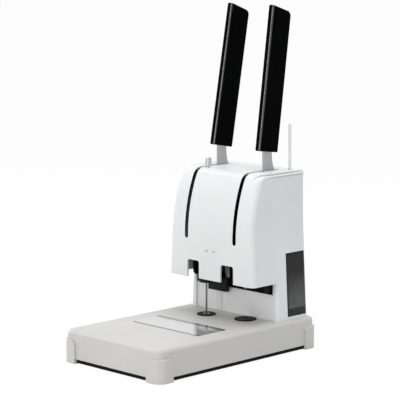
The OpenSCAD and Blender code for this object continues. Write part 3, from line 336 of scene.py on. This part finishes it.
# Solids that keep their own shape; the others are remade below.
FINISHES = {
    plate_coat: ["base_plate"],
    black_coat: ["column_frame", "top_bridge", "drill_guide", "rivet_guide", "drill_carriage",
                 "rivet_carriage", "drill_motor"],
    panel_paint: ["bin_shelf"],
    foot_rubber: ["rubber_feet", "drill_belt"],
    guide_brass: ["drill_ring", "drill_bushes", "rivet_bushes", "rivet_heater"],
    ground_steel: ["lever_shaft", "drill_spindle", "drill_bit", "rivet_ram", "spindle_bearings", "standoffs"],
    rod_steel: ["clearing_rod", "guide_rods", "drill_chuck"],
    dark_steel: ["drill_sector", "rivet_sector", "drill_rack", "rivet_rack", "shaft_collars"],
    turned_alloy: ["drill_pulley", "motor_pulley", "tube_guide"],
    lens: ["indicator_lights"],
    nylon: ["rivet_tube"],
}
for finish, names in FINISHES.items():
    for name in names:
        if not nodes[name].material_slots:
            nodes[name].data.materials.append(finish)
        for place in nodes[name].material_slots:
            place.material = finish


# ---------------------------------------------------------------- mesh tools

def block(bm, low, high):
    """A box between two corners; gives its edges."""
    low, high = Vector(low), Vector(high)
    place = Matrix.Translation((low + high) / 2) @ Matrix.Diagonal((*(high - low), 1))
    made = bmesh.ops.create_cube(bm, size=1, matrix=place)["verts"]
    return list(dict.fromkeys(edge for vert in made for edge in vert.link_edges))


def drum(bm, x, y, low, high, radius, segments=48):
    bmesh.ops.create_cone(bm, cap_ends=True, segments=segments, radius1=radius, radius2=radius,
                          depth=high - low, matrix=Matrix.Translation((x, y, (low + high) / 2)))


def runs(edge, axis):
    step = edge.verts[1].co - edge.verts[0].co
    return abs(step[axis]) > 0.98 * step.length


def rises(edge):
    return abs(edge.verts[0].co.z - edge.verts[1].co.z) > 1


def lies_at(edge, axis, mark):
    return all(abs(vert.co[axis] - mark) < SAME for vert in edge.verts)


def round_off(bm, edges, radius, segments=6):
    bmesh.ops.bevel(bm, geom=list(edges), offset=radius, segments=segments, profile=0.5, affect="EDGES",
                    material=-1)


def split(bm, place, normal):
    bmesh.ops.bisect_plane(bm, geom=bm.verts[:] + bm.edges[:] + bm.faces[:], plane_co=place, plane_no=normal)


def stretch(bm, vert, move):
    tip = bmesh.ops.extrude_vert_indiv(bm, verts=[vert])["verts"][0]
    tip.co += Vector(move)
    return tip


def sweep(bm, vert, centre, angle, steps):
    last = bmesh.ops.spin(bm, geom=[vert], cent=(0, *centre), axis=(1, 0, 0), angle=-angle,
                          steps=steps)["geom_last"]
    return next(part for part in last if isinstance(part, bmesh.types.BMVert))


def chain(bm, points):
    """Edges from point to point; gives the first and the last vertex."""
    first = tip = bm.verts.new(points[0])
    for point in points[1:]:
        tip = stretch(bm, tip, Vector(point) - tip.co)
    return first, tip


def turned(points, x=0, y=0, steps=64):
    """A round body from the radius and height of its profile's points."""
    bm = bmesh.new()
    chain(bm, [(x + radius, y, z) for radius, z in points])
    bmesh.ops.spin(bm, geom=bm.verts[:] + bm.edges[:], cent=(x, y, 0), axis=(0, 0, 1), angle=2 * pi,
                   steps=steps, use_merge=True)
    bmesh.ops.remove_doubles(bm, verts=bm.verts, dist=0.0001)
    bmesh.ops.recalc_face_normals(bm, faces=bm.faces)
    return bm


def plate(bm, low, high):
    """Fills a closed outline in the Y-Z plane and draws it out from X low to X high."""
    bmesh.ops.translate(bm, vec=(low, 0, 0), verts=bm.verts)
    bmesh.ops.contextual_create(bm, geom=bm.edges[:])
    body = bmesh.ops.extrude_face_region(bm, geom=bm.faces[:])["geom"]
    moved = [part for part in body if isinstance(part, bmesh.types.BMVert)]
    bmesh.ops.translate(bm, vec=(high - low, 0, 0), verts=moved)
    bmesh.ops.recalc_face_normals(bm, faces=bm.faces)
    bm.normal_update()


def cut_out(points, low, high):
    """A plate from the points of its outline."""
    bm = bmesh.new()
    first, tip = chain(bm, points)
    bm.edges.new((tip, first))
    plate(bm, low, high)
    return bm


def as_object(name, bm):
    mesh = bpy.data.meshes.new(name)
    bm.to_mesh(mesh)
    bm.free()
    made = bpy.data.objects.new(name, mesh)
    scene.collection.objects.link(made)
    return made


def carve(bm, tool, wall=0.0, operation="DIFFERENCE"):
    """Gives a skin its wall and cuts it with the tool; inner faces take the second finish, which on the head
    cover is a near-black painted shade.
    """
    work, knife = as_object("work", bm), as_object("knife", tool)
    for finish in (head_paint, painted_shade_inside):
        work.data.materials.append(finish)
    if wall:
        skin = work.modifiers.new("wall", "SOLIDIFY")
        skin.thickness, skin.offset, skin.use_even_offset, skin.material_offset = wall, -1, True, 1
    cut = work.modifiers.new("cut", "BOOLEAN")
    cut.operation, cut.solver, cut.object = operation, "EXACT", knife
    result = bpy.data.meshes.new_from_object(work.evaluated_get(bpy.context.evaluated_depsgraph_get()))
    carved = bmesh.new()
    carved.from_mesh(result)
    for mesh in (work.data, knife.data, result):
        bpy.data.meshes.remove(mesh)
    return carved


def join(*parts):
    whole = bmesh.new()
    for part in parts:
        mesh = bpy.data.meshes.new("part")
        part.to_mesh(mesh)
        part.free()
        whole.from_mesh(mesh)
        bpy.data.meshes.remove(mesh)
    return whole


def make_piece(name, bm, body, slot, finish, *stands_for, smooth=32, inside=None):
    bmesh.ops.scale(bm, vec=(MM, MM, MM), verts=bm.verts)
    piece = as_object(name, bm)
    piece.data.shade_smooth()
    piece.data.set_sharp_from_angle(angle=radians(smooth))
    piece.data.materials.append(finish)
    if inside:
        piece.data.materials.append(inside)
    shading = piece.modifiers.new("even_shading", "WEIGHTED_NORMAL")
    shading.keep_sharp, shading.weight = True, 100
    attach(piece, body)
    if stands_for:
        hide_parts(*stands_for)
    return piece


# ---------------------------------------------------------------- base

def soft_block(width, length, low, high, corner, edge, edge_steps=6):
    bm = bmesh.new()
    made = block(bm, (-width / 2, BASE_Y - length / 2, low), (width / 2, BASE_Y + length / 2, high))
    round_off(bm, [e for e in made if runs(e, Z)], corner, 10)
    round_off(bm, [e for e in bm.edges if lies_at(e, Z, high)], edge, edge_steps)
    return bm


def corner_guard(side, end):
    """One corner of a block round the whole base, with its two upper ends rounded."""
    x, y, cut_top = side * BASE_W / 2, BASE_Y + end * BASE_L / 2, GUARD_TOP + 0.01
    tool = bmesh.new()
    block(tool, (x - GUARD_RUN, y - GUARD_RUN, -GUARD_TOP), (x + GUARD_RUN, y + GUARD_RUN, cut_top))
    for axis, inner in ((X, x - side * GUARD_RUN), (Y, y - end * GUARD_RUN)):
        ends = [e for e in tool.edges if lies_at(e, Z, cut_top) and lies_at(e, axis, inner)]
        round_off(tool, ends, GUARD_SHOULDER, 8)
    whole = soft_block(BASE_W + 2 * GUARD_OUT, BASE_L + 2 * GUARD_OUT, GUARD_LOW, GUARD_TOP,
                       BASE_R + GUARD_OUT, GUARD_EDGE, 4)
    return carve(whole, tool, operation="INTERSECT")


def film_sheet():
    bm = bmesh.new()
    made = block(bm, (FILM_LEFT, FILM_NEAR, BASE_TOP), (FILM_RIGHT, FILM_FAR, FILM_TOP))
    round_off(bm, [e for e in made if runs(e, Z)], FILM_R, 5)
    round_off(bm, [e for e in bm.edges if lies_at(e, Z, FILM_TOP)], FILM_EDGE, 2)
    return bm


base = soft_block(BASE_W, BASE_L, BASE_LOW, BASE_TOP, BASE_R, BASE_EDGE)
make_piece("moulded_base", base, "frame", "shell", base_paint, "base_shell")
guards = join(*(corner_guard(side, end) for side in (-1, 1) for end in (-1, 1)))
make_piece("corner_guard_set", guards, "frame", "guard", guard_paint, "corner_guards")
make_piece("guide_film", film_sheet(), "frame", "lens", film_gloss)


# ---------------------------------------------------------------- tower

def fade_run(bm, tip):
    """Short steps along the top behind the nose, over which the cover's edge changes."""
    for _ in range(FADE_STEPS):
        tip = stretch(bm, tip, (0, FADE_STEP, 0))
    return tip


def shoulder_path():
    """Points of the cover's path with their inward directions and the share of the top's edge."""
    bm = bmesh.new()
    tip = stretch(bm, bm.verts.new((0, FRONT, HEAD_Z)), (0, 0, BOW_Z - HEAD_Z))
    tip = sweep(bm, tip, (FRONT + BOW_R, BOW_Z), nose_lean(SHOULDER), BOW_STEPS)
    shares = [0.0] * len(bm.verts)
    tip = sweep(bm, tip, nose_centre(SHOULDER), pi / 2 - nose_lean(SHOULDER), NOSE_STEPS)
    shares += [NOSE_SHARE * (step + 1) / NOSE_STEPS for step in range(NOSE_STEPS)]
    tip = fade_run(bm, tip)
    shares += [NOSE_SHARE + (1 - NOSE_SHARE) * (step + 1) / FADE_STEPS for step in range(FADE_STEPS)]
    tip = stretch(bm, tip, (0, REAR - REAR_R - tip.co.y, 0))
    sweep(bm, tip, (REAR - REAR_R, SHOULDER - REAR_R), pi / 2, 8)
    points = [vert.co.copy() for vert in bm.verts]
    shares += [1.0] * (len(points) - len(shares))
    bm.free()
    inward = []
    for place in range(len(points)):
        run = points[min(place + 1, len(points) - 1)] - points[max(place - 1, 0)]
        inward.append(Vector((0, run.z, -run.y)).normalized())
    return list(zip(points, inward, shares))


PATH = shoulder_path()


def lip_depth(share):
    return LIP + (TOP_LIP - LIP) * share


def edge_column(column, share):
    """Way in from the side and depth under the web of one column of the cover's round edge."""
    if column == 0:
        return 0.0, lip_depth(share)
    radius = EDGE_R + (TOP_EDGE_R - EDGE_R) * share
    angle = radians(90 * (column - 1) / ROUND_STEPS)
    return radius * (1 - cos(angle)), radius * (1 - sin(angle))


def cover_cuts(slot_wall_finish):
    """Lever slots, sight notches, windows for the lights, and the holes for post and tube."""
    tool = bmesh.new()
    near, far = FRONT - 6, FRONT + 12
    for x in (-LEVER_X, LEVER_X):
        slot = block(tool, (x - SLOT_R, near, SLOT_LOW), (x + SLOT_R, SLOT_REAR, TOP + 30))
        round_off(tool, [e for e in slot if runs(e, Y) and lies_at(e, Z, SLOT_LOW)], SLOT_R - 0.01, 8)
    # The slot walls take the given finish index: the near-black painted shade on the head cover, the white
    # moulding on the deck.
    for face in tool.faces:
        face.material_index = slot_wall_finish
    for (left, right), x in zip(NOTCHES, (-LIGHT_X, LIGHT_X)):
        notch = block(tool, (left, near, HEAD_Z - 8), (right, far, NOTCH_TOP))
        round_off(tool, [e for e in notch if runs(e, Y) and lies_at(e, Z, NOTCH_TOP)], NOTCH_R, 8)
        window = block(tool, (x - LIGHT_HALF, near, LIGHT_LOW), (x + LIGHT_HALF, far, LIGHT_HIGH))
        round_off(tool, [e for e in window if runs(e, Y)], LIGHT_R, 6)
    drum(tool, *POST, TOP - 10, TOP + 10, POST_HOLE_R)
    drum(tool, *TUBE, TOP - 10, TOP + 10, TUBE_HOLE_R)
    return tool


def head_cover():
    """A skin drawn across column by column, from the left lip to the right one."""
    bm = bmesh.new()
    station = bm.verts.layers.int.new("station")
    verts = [bm.verts.new(point) for point, _, _ in PATH]
    for place, vert in enumerate(verts):
        vert[station] = place
    edges = [bm.edges.new(pair) for pair in zip(verts, verts[1:])]
    columns = list(range(ROUND_STEPS + 2))
    for side, order in ((-1, columns), (1, columns[::-1])):
        for column in order:
            if (side, column) != (-1, 0):
                made = bmesh.ops.extrude_edge_only(bm, edges=edges)["geom"]
                verts = [part for part in made if isinstance(part, bmesh.types.BMVert)]
                edges = [part for part in made if isinstance(part, bmesh.types.BMEdge)
                         and all(vert in verts for vert in part.verts)]
            for vert in verts:
                point, inward, share = PATH[vert[station]]
                across, depth = edge_column(column, share)
                vert.co = point + inward * depth
                vert.co.x = side * (half_width(point.z) - across)
    bmesh.ops.recalc_face_normals(bm, faces=bm.faces)
    bm.normal_update()
    if min(bm.faces, key=lambda face: face.calc_center_median().y).normal.y > 0:
        bmesh.ops.reverse_faces(bm, faces=bm.faces)
    # The cover's inner faces and slot walls get the near-black painted shade.
    return carve(bm, cover_cuts(slot_wall_finish=1), WALL)


def deck_inset(y):
    """The raised deck narrows over the nose, slowly at first."""
    back = (y - NOSE_Y) / FADE
    if back > 1:
        return 0
    return DECK_TAPER * (1 - back) ** 2 if back > 0 else DECK_TAPER - 6 * back


def raised_deck():
    bm = bmesh.new()
    centre, low_centre = nose_centre(TOP), nose_centre(SHOULDER)
    start = nose_lean(TOP) + radians(6)
    first = bm.verts.new((0, centre[0] - NOSE_R * cos(start), centre[1] + NOSE_R * sin(start)))
    tip = fade_run(bm, sweep(bm, first, centre, pi / 2 - start, NOSE_STEPS))
    tip = stretch(bm, tip, (0, REAR - DECK_IN - tip.co.y, 0))
    tip = stretch(bm, tip, (0, 0, -DECK_H - 1))
    tip = stretch(bm, tip, (0, low_centre[0] - tip.co.y, 0))
    tip = sweep(bm, tip, low_centre, nose_lean(SHOULDER) - pi / 2, NOSE_STEPS)
    bm.edges.new((tip, first))
    plate(bm, -1, 1)
    for vert in bm.verts:
        vert.co.x *= half_width(TOP) - DECK_IN - deck_inset(vert.co.y)
    bm.normal_update()
    rim = [e for e in bm.edges if e.calc_face_angle(0) > 1 and max(v.co.z for v in e.verts) > TOP - 1.2
           and min(v.co.y for v in e.verts) > NOSE_Y - 8]
    round_off(bm, rim, DECK_EDGE, 3)
    return carve(bm, cover_cuts(slot_wall_finish=0))


def panel_block(front, low, high):
    """A box as wide as the panels are at each height, split at the waist where it reaches so far."""
    bm = bmesh.new()
    block(bm, (-1, front, low), (1, REAR, high))
    if high > WAIST_Z:
        split(bm, (0, 0, WAIST_Z), (0, 0, 1))
    for vert in bm.verts:
        vert.co.x *= half_width(vert.co.z) - PANEL_STEP
    return bm


def bin_opening(tool):
    block(tool, (BIN_X, BIN_Y - BIN_GAP, BIN_LOW - BIN_GAP), (CUT_HALF, REAR + 20, BIN_TOP + BIN_GAP))


def tower_sides():
    """Side and rear panels above the throat, cut back to the cover's lip and open for the bin."""
    bm = panel_block(FRONT, HEAD_Z, PANEL_TOP)
    opened = [f for f in bm.faces if abs(f.normal.z) > 0.9 or f.normal.y < -0.9]
    bmesh.ops.delete(bm, geom=opened, context="FACES")
    round_off(bm, [e for e in bm.edges if runs(e, Z) and e.verts[0].co.y > REAR - 1], CORNER_R, 8)
    lip = [point + inward * (lip_depth(share) + SEAM) for point, inward, share in PATH
           if point.y < NOSE_Y + FADE + 0.1]
    tool = cut_out([lip[0] - Vector((0, 0, 10)), *lip, lip[-1] + Vector((0, 0, 20)),
                    (0, FRONT - 40, TOP + 20), (0, FRONT - 40, HEAD_Z - 10)], -CUT_HALF, CUT_HALF)
    bin_opening(tool)
    return carve(bm, tool, WALL)


def tower_foot():
    """Pillars, sides and rear beside the throat, with the openings for bin, inlet and switch."""
    bm = panel_block(PILLAR_Y, BASE_TOP, HEAD_Z - PARTING)
    round_off(bm, [e for e in bm.edges if rises(e) and e.verts[0].co.y > REAR - 1], CORNER_R, 8)
    round_off(bm, [e for e in bm.edges if rises(e) and e.verts[0].co.y < PILLAR_Y + 0.1], PILLAR_R, 8)
    for x in (-PILLAR_X, PILLAR_X):
        split(bm, (x, 0, 0), (1, 0, 0))
    bm.normal_update()
    opened = [f for f in bm.faces if abs(f.normal.z) > 0.9
              or f.normal.y < -0.9 and abs(f.calc_center_median().x) < PILLAR_X]
    bmesh.ops.delete(bm, geom=opened, context="FACES")
    tool = bmesh.new()
    bin_opening(tool)
    for x, half, tall in ((INLET_X, 14, 10), (SWITCH_X, 9.5, 6.5)):
        block(tool, (x - half, REAR - 12, REAR_Z - tall), (x + half, REAR + 12, REAR_Z + tall))
    return carve(bm, tool, WALL)


def throat_panel():
    bm = bmesh.new()
    made = block(bm, (-THROAT_HALF, THROAT_Y, BASE_TOP), (THROAT_HALF, THROAT_Y + WALL, THROAT_TOP))
    round_off(bm, [e for e in made if runs(e, X) and lies_at(e, Z, THROAT_TOP)], 0.6, 3)
    groove = bmesh.new()
    drum(groove, GROOVE_X, THROAT_Y, BASE_TOP - 1, THROAT_TOP + 1, GROOVE_R, 24)
    return carve(bm, groove)


# The head cover's inside is near-black painted shade.
make_piece("head_cover", join(head_cover(), raised_deck()), "frame", "shell", head_paint, "front_cover",
           smooth=24, inside=painted_shade_inside)
make_piece("tower_panels", join(tower_sides(), tower_foot()), "frame", "panel", panel_paint, "rear_cover",
           smooth=24, inside=panel_paint)
make_piece("throat_panel", throat_panel(), "frame", "panel", wall_paint, "throat_wall")


# ---------------------------------------------------------------- levers

def on_shaft(x, lean):
    return Matrix.Translation((x, PIVOT_Y, PIVOT_Z)) @ Matrix.Rotation(radians(lean), 4, "X")


def lever_arm(x, lean):
    """Flat arm on its hub, with a foot that widens to the rear where it leaves the deck."""
    bm = bmesh.new()
    first = bm.verts.new((0, -ARM_HALF, ARM_END))
    tip = stretch(bm, first, (0, 0, sqrt(HUB_R ** 2 - ARM_HALF ** 2) - ARM_END))
    tip = sweep(bm, tip, (0, 0), -(pi + acos(ARM_HALF / HUB_R) + acos(ARM_FOOT / HUB_R)), 40)
    for step in range(9):
        rise = step / 8
        reach = ARM_FOOT - (ARM_FOOT - ARM_HALF) * (1 - (1 - rise) ** 2)
        tip = stretch(bm, tip, Vector((0, reach, ARM_DECK - 1 + 25 * rise)) - tip.co)
    tip = stretch(bm, tip, Vector((0, ARM_HALF, ARM_END)) - tip.co)
    bm.edges.new((tip, first))
    plate(bm, -ARM_T / 2, ARM_T / 2)
    round_off(bm, [e for e in bm.edges if e.calc_face_angle(0) > 1], 0.6, 3)
    bore = bmesh.new()
    drum(bore, 0, 0, -9, 9, BORE_R)
    bmesh.ops.rotate(bore, matrix=Matrix.Rotation(pi / 2, 3, "Y"), verts=bore.verts)
    arm = carve(bm, bore)
    bmesh.ops.transform(arm, matrix=on_shaft(x, lean), verts=arm.verts)
    return arm


def grip(x, lean):
    """Flat bar with a slanted top and round rims; its front right edge is marked for the polish."""
    bm = bmesh.new()
    block(bm, (-GRIP_T / 2, -GRIP_W / 2, 0), (GRIP_T / 2, GRIP_W / 2, GRIP_LENGTH))
    for vert in bm.verts:
        if vert.co.z > 1:
            vert.co.z -= GRIP_W * tan(radians(GRIP_SLANT)) * (vert.co.y / GRIP_W + 0.5)
    for end, radius in ((-1, 3), (1, 7)):
        upper = [e for e in bm.edges if runs(e, X) and e.verts[0].co.z > 100 and e.verts[0].co.y * end > 20]
        round_off(bm, upper, radius, 8)
    round_off(bm, [e for e in bm.edges if runs(e, X) and e.verts[0].co.z < 1], 1.5, 3)
    bm.normal_update()
    rims = [e for e in bm.edges if any(abs(f.normal.x) > 0.9 for f in e.link_faces)]
    polish = bm.faces.layers.float.new("polish")
    round_off(bm, rims, 2.6, 8)
    bm.normal_update()
    for face in bm.faces:
        if 0.05 < face.normal.x < 0.98 and face.normal.y < -0.1:
            face[polish] = 1
    place = (on_shaft(x, lean) @ Matrix.Translation(GRIP_FOOT)
             @ Matrix.Rotation(radians(GRIP_LEAN), 4, "X"))
    bmesh.ops.transform(bm, matrix=place, verts=bm.verts)
    return bm


for side, x, lean in LEVERS:
    make_piece(side + "_lever_arm", lever_arm(x, lean), side + "_lever", "arm_steel", arm_zinc,
               side + "_lever")
for side, x, lean in LEVERS:
    make_piece(side + "_hand_grip", grip(x, lean), side + "_lever", "grip", grip_cover, side + "_grip")


# ---------------------------------------------------------------- knob, pads and springs

KNOB = [(0, 0), (2.5, 0), (2.5, 2.6), (4.1, 2.8), (4.6, 3.1), (4.85, 3.6), (4.85, 11.6), (4.6, 11.9),
        (4.6, 12.4), (4.85, 12.7), (4.85, 14), (4.5, 14.7), (3.9, 15), (0, 15)]
knob = turned([(radius, KNOB_LOW + rise) for radius, rise in KNOB], *POST)
make_piece("pull_knob", knob, "clearing_rod", "alloy", turned_alloy, "clearing_knob")

# Each pad from its hollow middle out to the rim, as radius and depth under the pad's top.
PADS = (("drill_cutting_pad", "drill_pad", DRILL,
         [(0, 1), (5.5, 1), (5.5, 0.2), (5.7, 0), (9.2, 0), (9.4, 0.25), (9.9, 0.25), (10.1, 0), (14.2, 0),
          (14.8, 0.15), (15.2, 0.5), (15.2, 1.5), (0, 1.5)]),
        ("rivet_press_pad", "rivet_pad", RIVET,
         [(0, 1), (3, 1), (3, 0.3), (3.3, 0), (16.5, 0), (17.1, 0.15), (17.5, 0.5), (17.5, 1.5), (0, 1.5)]))
for name, solid, place, profile in PADS:
    pad = turned([(radius, PAD_TOP - depth) for radius, depth in profile], *place)
    make_piece(name, pad, "frame", "black_plastic", pad_moulding, solid)


def return_spring(x, y):
    """Coil with closed ends: one ring of the wire is screwed round and up in three runs."""
    bm = bmesh.new()
    place = Matrix.Translation((x + COIL_R, y, COIL_LOW + WIRE_R)) @ Matrix.Rotation(pi / 2, 4, "X")
    bmesh.ops.create_circle(bm, segments=10, radius=WIRE_R, matrix=place)
    ring, closed = bm.verts[:] + bm.edges[:], 2.4 * WIRE_R
    for turns, climb in ((1, closed), (6, COIL_HIGH - COIL_LOW - 2 * WIRE_R - 2 * closed), (1, closed)):
        steps = 28 * turns
        ring = bmesh.ops.spin(bm, geom=ring, cent=(x, y, 0), axis=(0, 0, 1), dvec=(0, 0, climb / steps),
                              angle=2 * pi * turns, steps=steps)["geom_last"]
    bmesh.ops.holes_fill(bm, edges=bm.edges[:])
    bmesh.ops.recalc_face_normals(bm, faces=bm.faces)
    return bm


for side, x, y, feed in SPRINGS:
    spring = make_piece(side + "_return_coil", return_spring(x, y), "frame", "bright_steel", spring_steel,
                        side + "_spring")
    side + "_feed"
    MM * x
    MM * y
    1 - feed / (COIL_HIGH - COIL_LOW)
    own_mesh(spring)


# ---------------------------------------------------------------- bin

def drawer():
    bm = bmesh.new()
    block(bm, (BIN_X + 0.5, BIN_Y, BIN_LOW), (BIN_X + 2, REAR - 0.3, BIN_TOP))
    split(bm, (0, 0, BIN_FLOOR), (0, 0, 1))
    for vert in bm.verts:
        if vert.co.x > BIN_X + 1:
            vert.co.x = half_width(vert.co.z) - BIN_STEP
    corner = [e for e in bm.edges if rises(e)
              and all(v.co.y > REAR - 1 and v.co.x > BIN_X + 1 for v in e.verts)]
    round_off(bm, corner, CORNER_R, 8)
    bm.normal_update()
    mouth = [f for f in bm.faces if f.normal.z > 0.9]
    window = [f for f in bm.faces if f.normal.x > 0.9 and f.calc_center_median().z > BIN_FLOOR
              and f.calc_area() > 500]
    bmesh.ops.inset_region(bm, faces=mouth, thickness=2, use_even_offset=True)
    bmesh.ops.inset_region(bm, faces=mouth, thickness=0, depth=BIN_FLOOR - BIN_TOP)
    bmesh.ops.inset_region(bm, faces=window, thickness=2.4, use_even_offset=True)
    bmesh.ops.inset_region(bm, faces=window, thickness=0.4, depth=-0.5, use_even_offset=True)
    bm.normal_update()
    round_off(bm, [e for e in bm.edges if e.calc_face_angle(0) > 1.2], 0.4, 2)
    return bm


make_piece("smoked_drawer", drawer(), "chip_bin", "smoke", bin_smoke, "chip_bin")


# ---------------------------------------------------------------- rear fittings and screws

def socket_frame(x, width, height, depth, rim, lip, hole):
    """A moulded frame let into the rear panel, with its flange outside and an open pocket."""
    hole_w, hole_h, hole_depth, hole_r = hole
    parts = []
    for wide, tall, near, far, corner in ((width, height, REAR - depth, REAR + 0.05, 1),
                                          (width + 2 * rim, height + 2 * rim, REAR, REAR + lip, 2.5)):
        bm = bmesh.new()
        made = block(bm, (x - wide / 2, near, REAR_Z - tall / 2), (x + wide / 2, far, REAR_Z + tall / 2))
        round_off(bm, [e for e in made if runs(e, Y)], corner, 5)
        round_off(bm, [e for e in bm.edges if lies_at(e, Y, far)], 0.5, 3)
        tool = bmesh.new()
        made = block(tool, (x - hole_w / 2, REAR - hole_depth, REAR_Z - hole_h / 2),
                     (x + hole_w / 2, REAR + 9, REAR_Z + hole_h / 2))
        round_off(tool, [e for e in made if runs(e, Y)], hole_r, 4)
        parts.append(carve(bm, tool))
    return join(*parts)


def contact(x, z):
    """One metal blade in the inlet's pocket."""
    bm = bmesh.new()
    made = block(bm, (x - 1, REAR - 17, z - 2), (x + 1, REAR - 4, z + 2))
    round_off(bm, made, 0.4, 3)
    for face in bm.faces:
        face.material_index = 1
    return bm


def screw(place, turn):
    head = turned([(0, 0), (3, 0), (3.2, 0.2), (3.2, 0.5), (2.7, 1.05), (1.9, 1.35), (0, 1.5)], steps=32)
    tool = bmesh.new()
    drum(tool, 0, 0, 0.5, 3, 1.3, 6)
    made = carve(head, tool)
    bmesh.ops.dissolve_degenerate(made, dist=SAME, edges=made.edges)
    bmesh.ops.transform(made, matrix=Matrix.Translation(place) @ Matrix.Rotation(turn, 4, "X"),
                        verts=made.verts)
    return made


CONTACTS = ((-7, -2), (0, 3), (7, -2))
inlet = join(socket_frame(INLET_X, 27.6, 19.6, 20, 3, 2, (24, 16, 16, 2.5)),
             *(contact(INLET_X + x, REAR_Z + z) for x, z in CONTACTS))
make_piece("mains_inlet", inlet, "frame", "black_plastic", black_moulding, "power_inlet", inside=ground_steel)
surround = socket_frame(SWITCH_X, 18.6, 12.6, 16, 1.2, 1.6, (16, 10, 10, 0.8))
make_piece("switch_surround", surround, "frame", "black_plastic", black_moulding, "switch_frame")

ROCKER = ((-5, -3.2), (2, -3.9), (1.45, -1.6), (1.15, 0), (0.85, 1.6), (0.6, 3.9), (-5, 3.2))
rocker = cut_out([(0, REAR + out, REAR_Z + rise) for out, rise in ROCKER],
                 SWITCH_X - ROCKER_HALF, SWITCH_X + ROCKER_HALF)
round_off(rocker, [e for e in rocker.edges if e.calc_face_angle(0) > 0.9], 0.4, 3)
make_piece("rocker_key", rocker, "power_rocker", "black_plastic", black_moulding, "switch_rocker")

REAR_SCREWS = [(-70, 262), (70, 262), (-70, 132), (20, 132), (-78, 60), (20, 60)]
PLATE_SCREWS = [(x, BASE_Y + y) for x in (-88, 88) for y in (-95, 0, 95)]
screws = join(*(screw((x, REAR - 0.1, z), -pi / 2) for x, z in REAR_SCREWS),
              *(screw((x, y, 1.85), pi) for x, y in PLATE_SCREWS))
make_piece("cover_screws", screws, "frame", "black_steel", screw_black)


# ---------------------------------------------------------------- studio

WHITE = (1, 1, 1, 1)
WORLD_LIGHT, FLOOR_GLOW = 0.55, 0.95


def backdrop_rays(coat):
    """One for rays that show the plain background: seen straight, mirrored or through a clear piece."""
    camera, glossy, clear = (coat.add("ShaderNodeLightPath", out=f"Is {kind} Ray")
                             for kind in ("Camera", "Glossy", "Transmission"))
    return camera + glossy + clear


def soft_lamp(name, place, aim, width, height, watts):
    lamp = bpy.data.lights.new(name, "AREA")
    lamp.shape, lamp.size, lamp.size_y, lamp.energy = "RECTANGLE", width, height, watts
    lamp_object = bpy.data.objects.new(name, lamp)
    lamp_object.location = place
    lamp_object.rotation_euler = (Vector(aim) - Vector(place)).to_track_quat("-Z", "Y").to_euler()
    scene.collection.objects.link(lamp_object)


floor_bm = bmesh.new()
bmesh.ops.create_grid(floor_bm, x_segments=2, y_segments=2, size=12)
floor = as_object("studio_floor", floor_bm)
sheet = Coat.named("floor_paper")
sheet.shade(Base_Color=sheet.blend(sheet.noise(40, 3), tint(0.86), tint(0.9)), Roughness=0.9)
plain = Wire(sheet, sheet.shader.outputs[0])
glow = sheet.add("ShaderNodeEmission", (), {"Color": WHITE, "Strength": 1.0})
share = sheet.ramp(backdrop_rays(sheet), 0.0, 1.0, 0.0, FLOOR_GLOW)
mixed = sheet.add("ShaderNodeMixShader", (), {0: share, 1: plain, 2: glow})
sheet.feed(sheet.tree.nodes["Material Output"], {"Surface": mixed})
floor.data.materials.append(sheet.material)

sky = bpy.data.worlds.new("studio")
scene.world = sky
sky.use_nodes = True
air = Coat(sky.node_tree)
strength = air.ramp(backdrop_rays(air), 0.0, 1.0, WORLD_LIGHT, 1.0)
air.feed(air.tree.nodes["Background"], {"Color": WHITE, "Strength": strength})

soft_lamp("key_lamp", (-2.2, -0.3, 1.1), (0, 0, 0.2), 0.9, 0.9, 12)
soft_lamp("front_strip", (0.15, -2.2, 0.7), (0, 0, 0.3), 0.2, 1.3, 12)
soft_lamp("top_lamp", (0.2, 0.25, 2.4), (0, 0, 0.2), 1.5, 1.5, 29)

eye = bpy.data.cameras.new("photo_camera")
eye.lens, eye.sensor_width = 163.3, 36
eye_object = bpy.data.objects.new("photo_camera", eye)
eye_object.location = (1.95925, -1.94324, 0.66527)
eye_object.rotation_euler = (radians(81.30), 0, radians(45.0))
scene.collection.objects.link(eye_object)
scene.camera = eye_object
scene.view_settings.view_transform = "Standard"
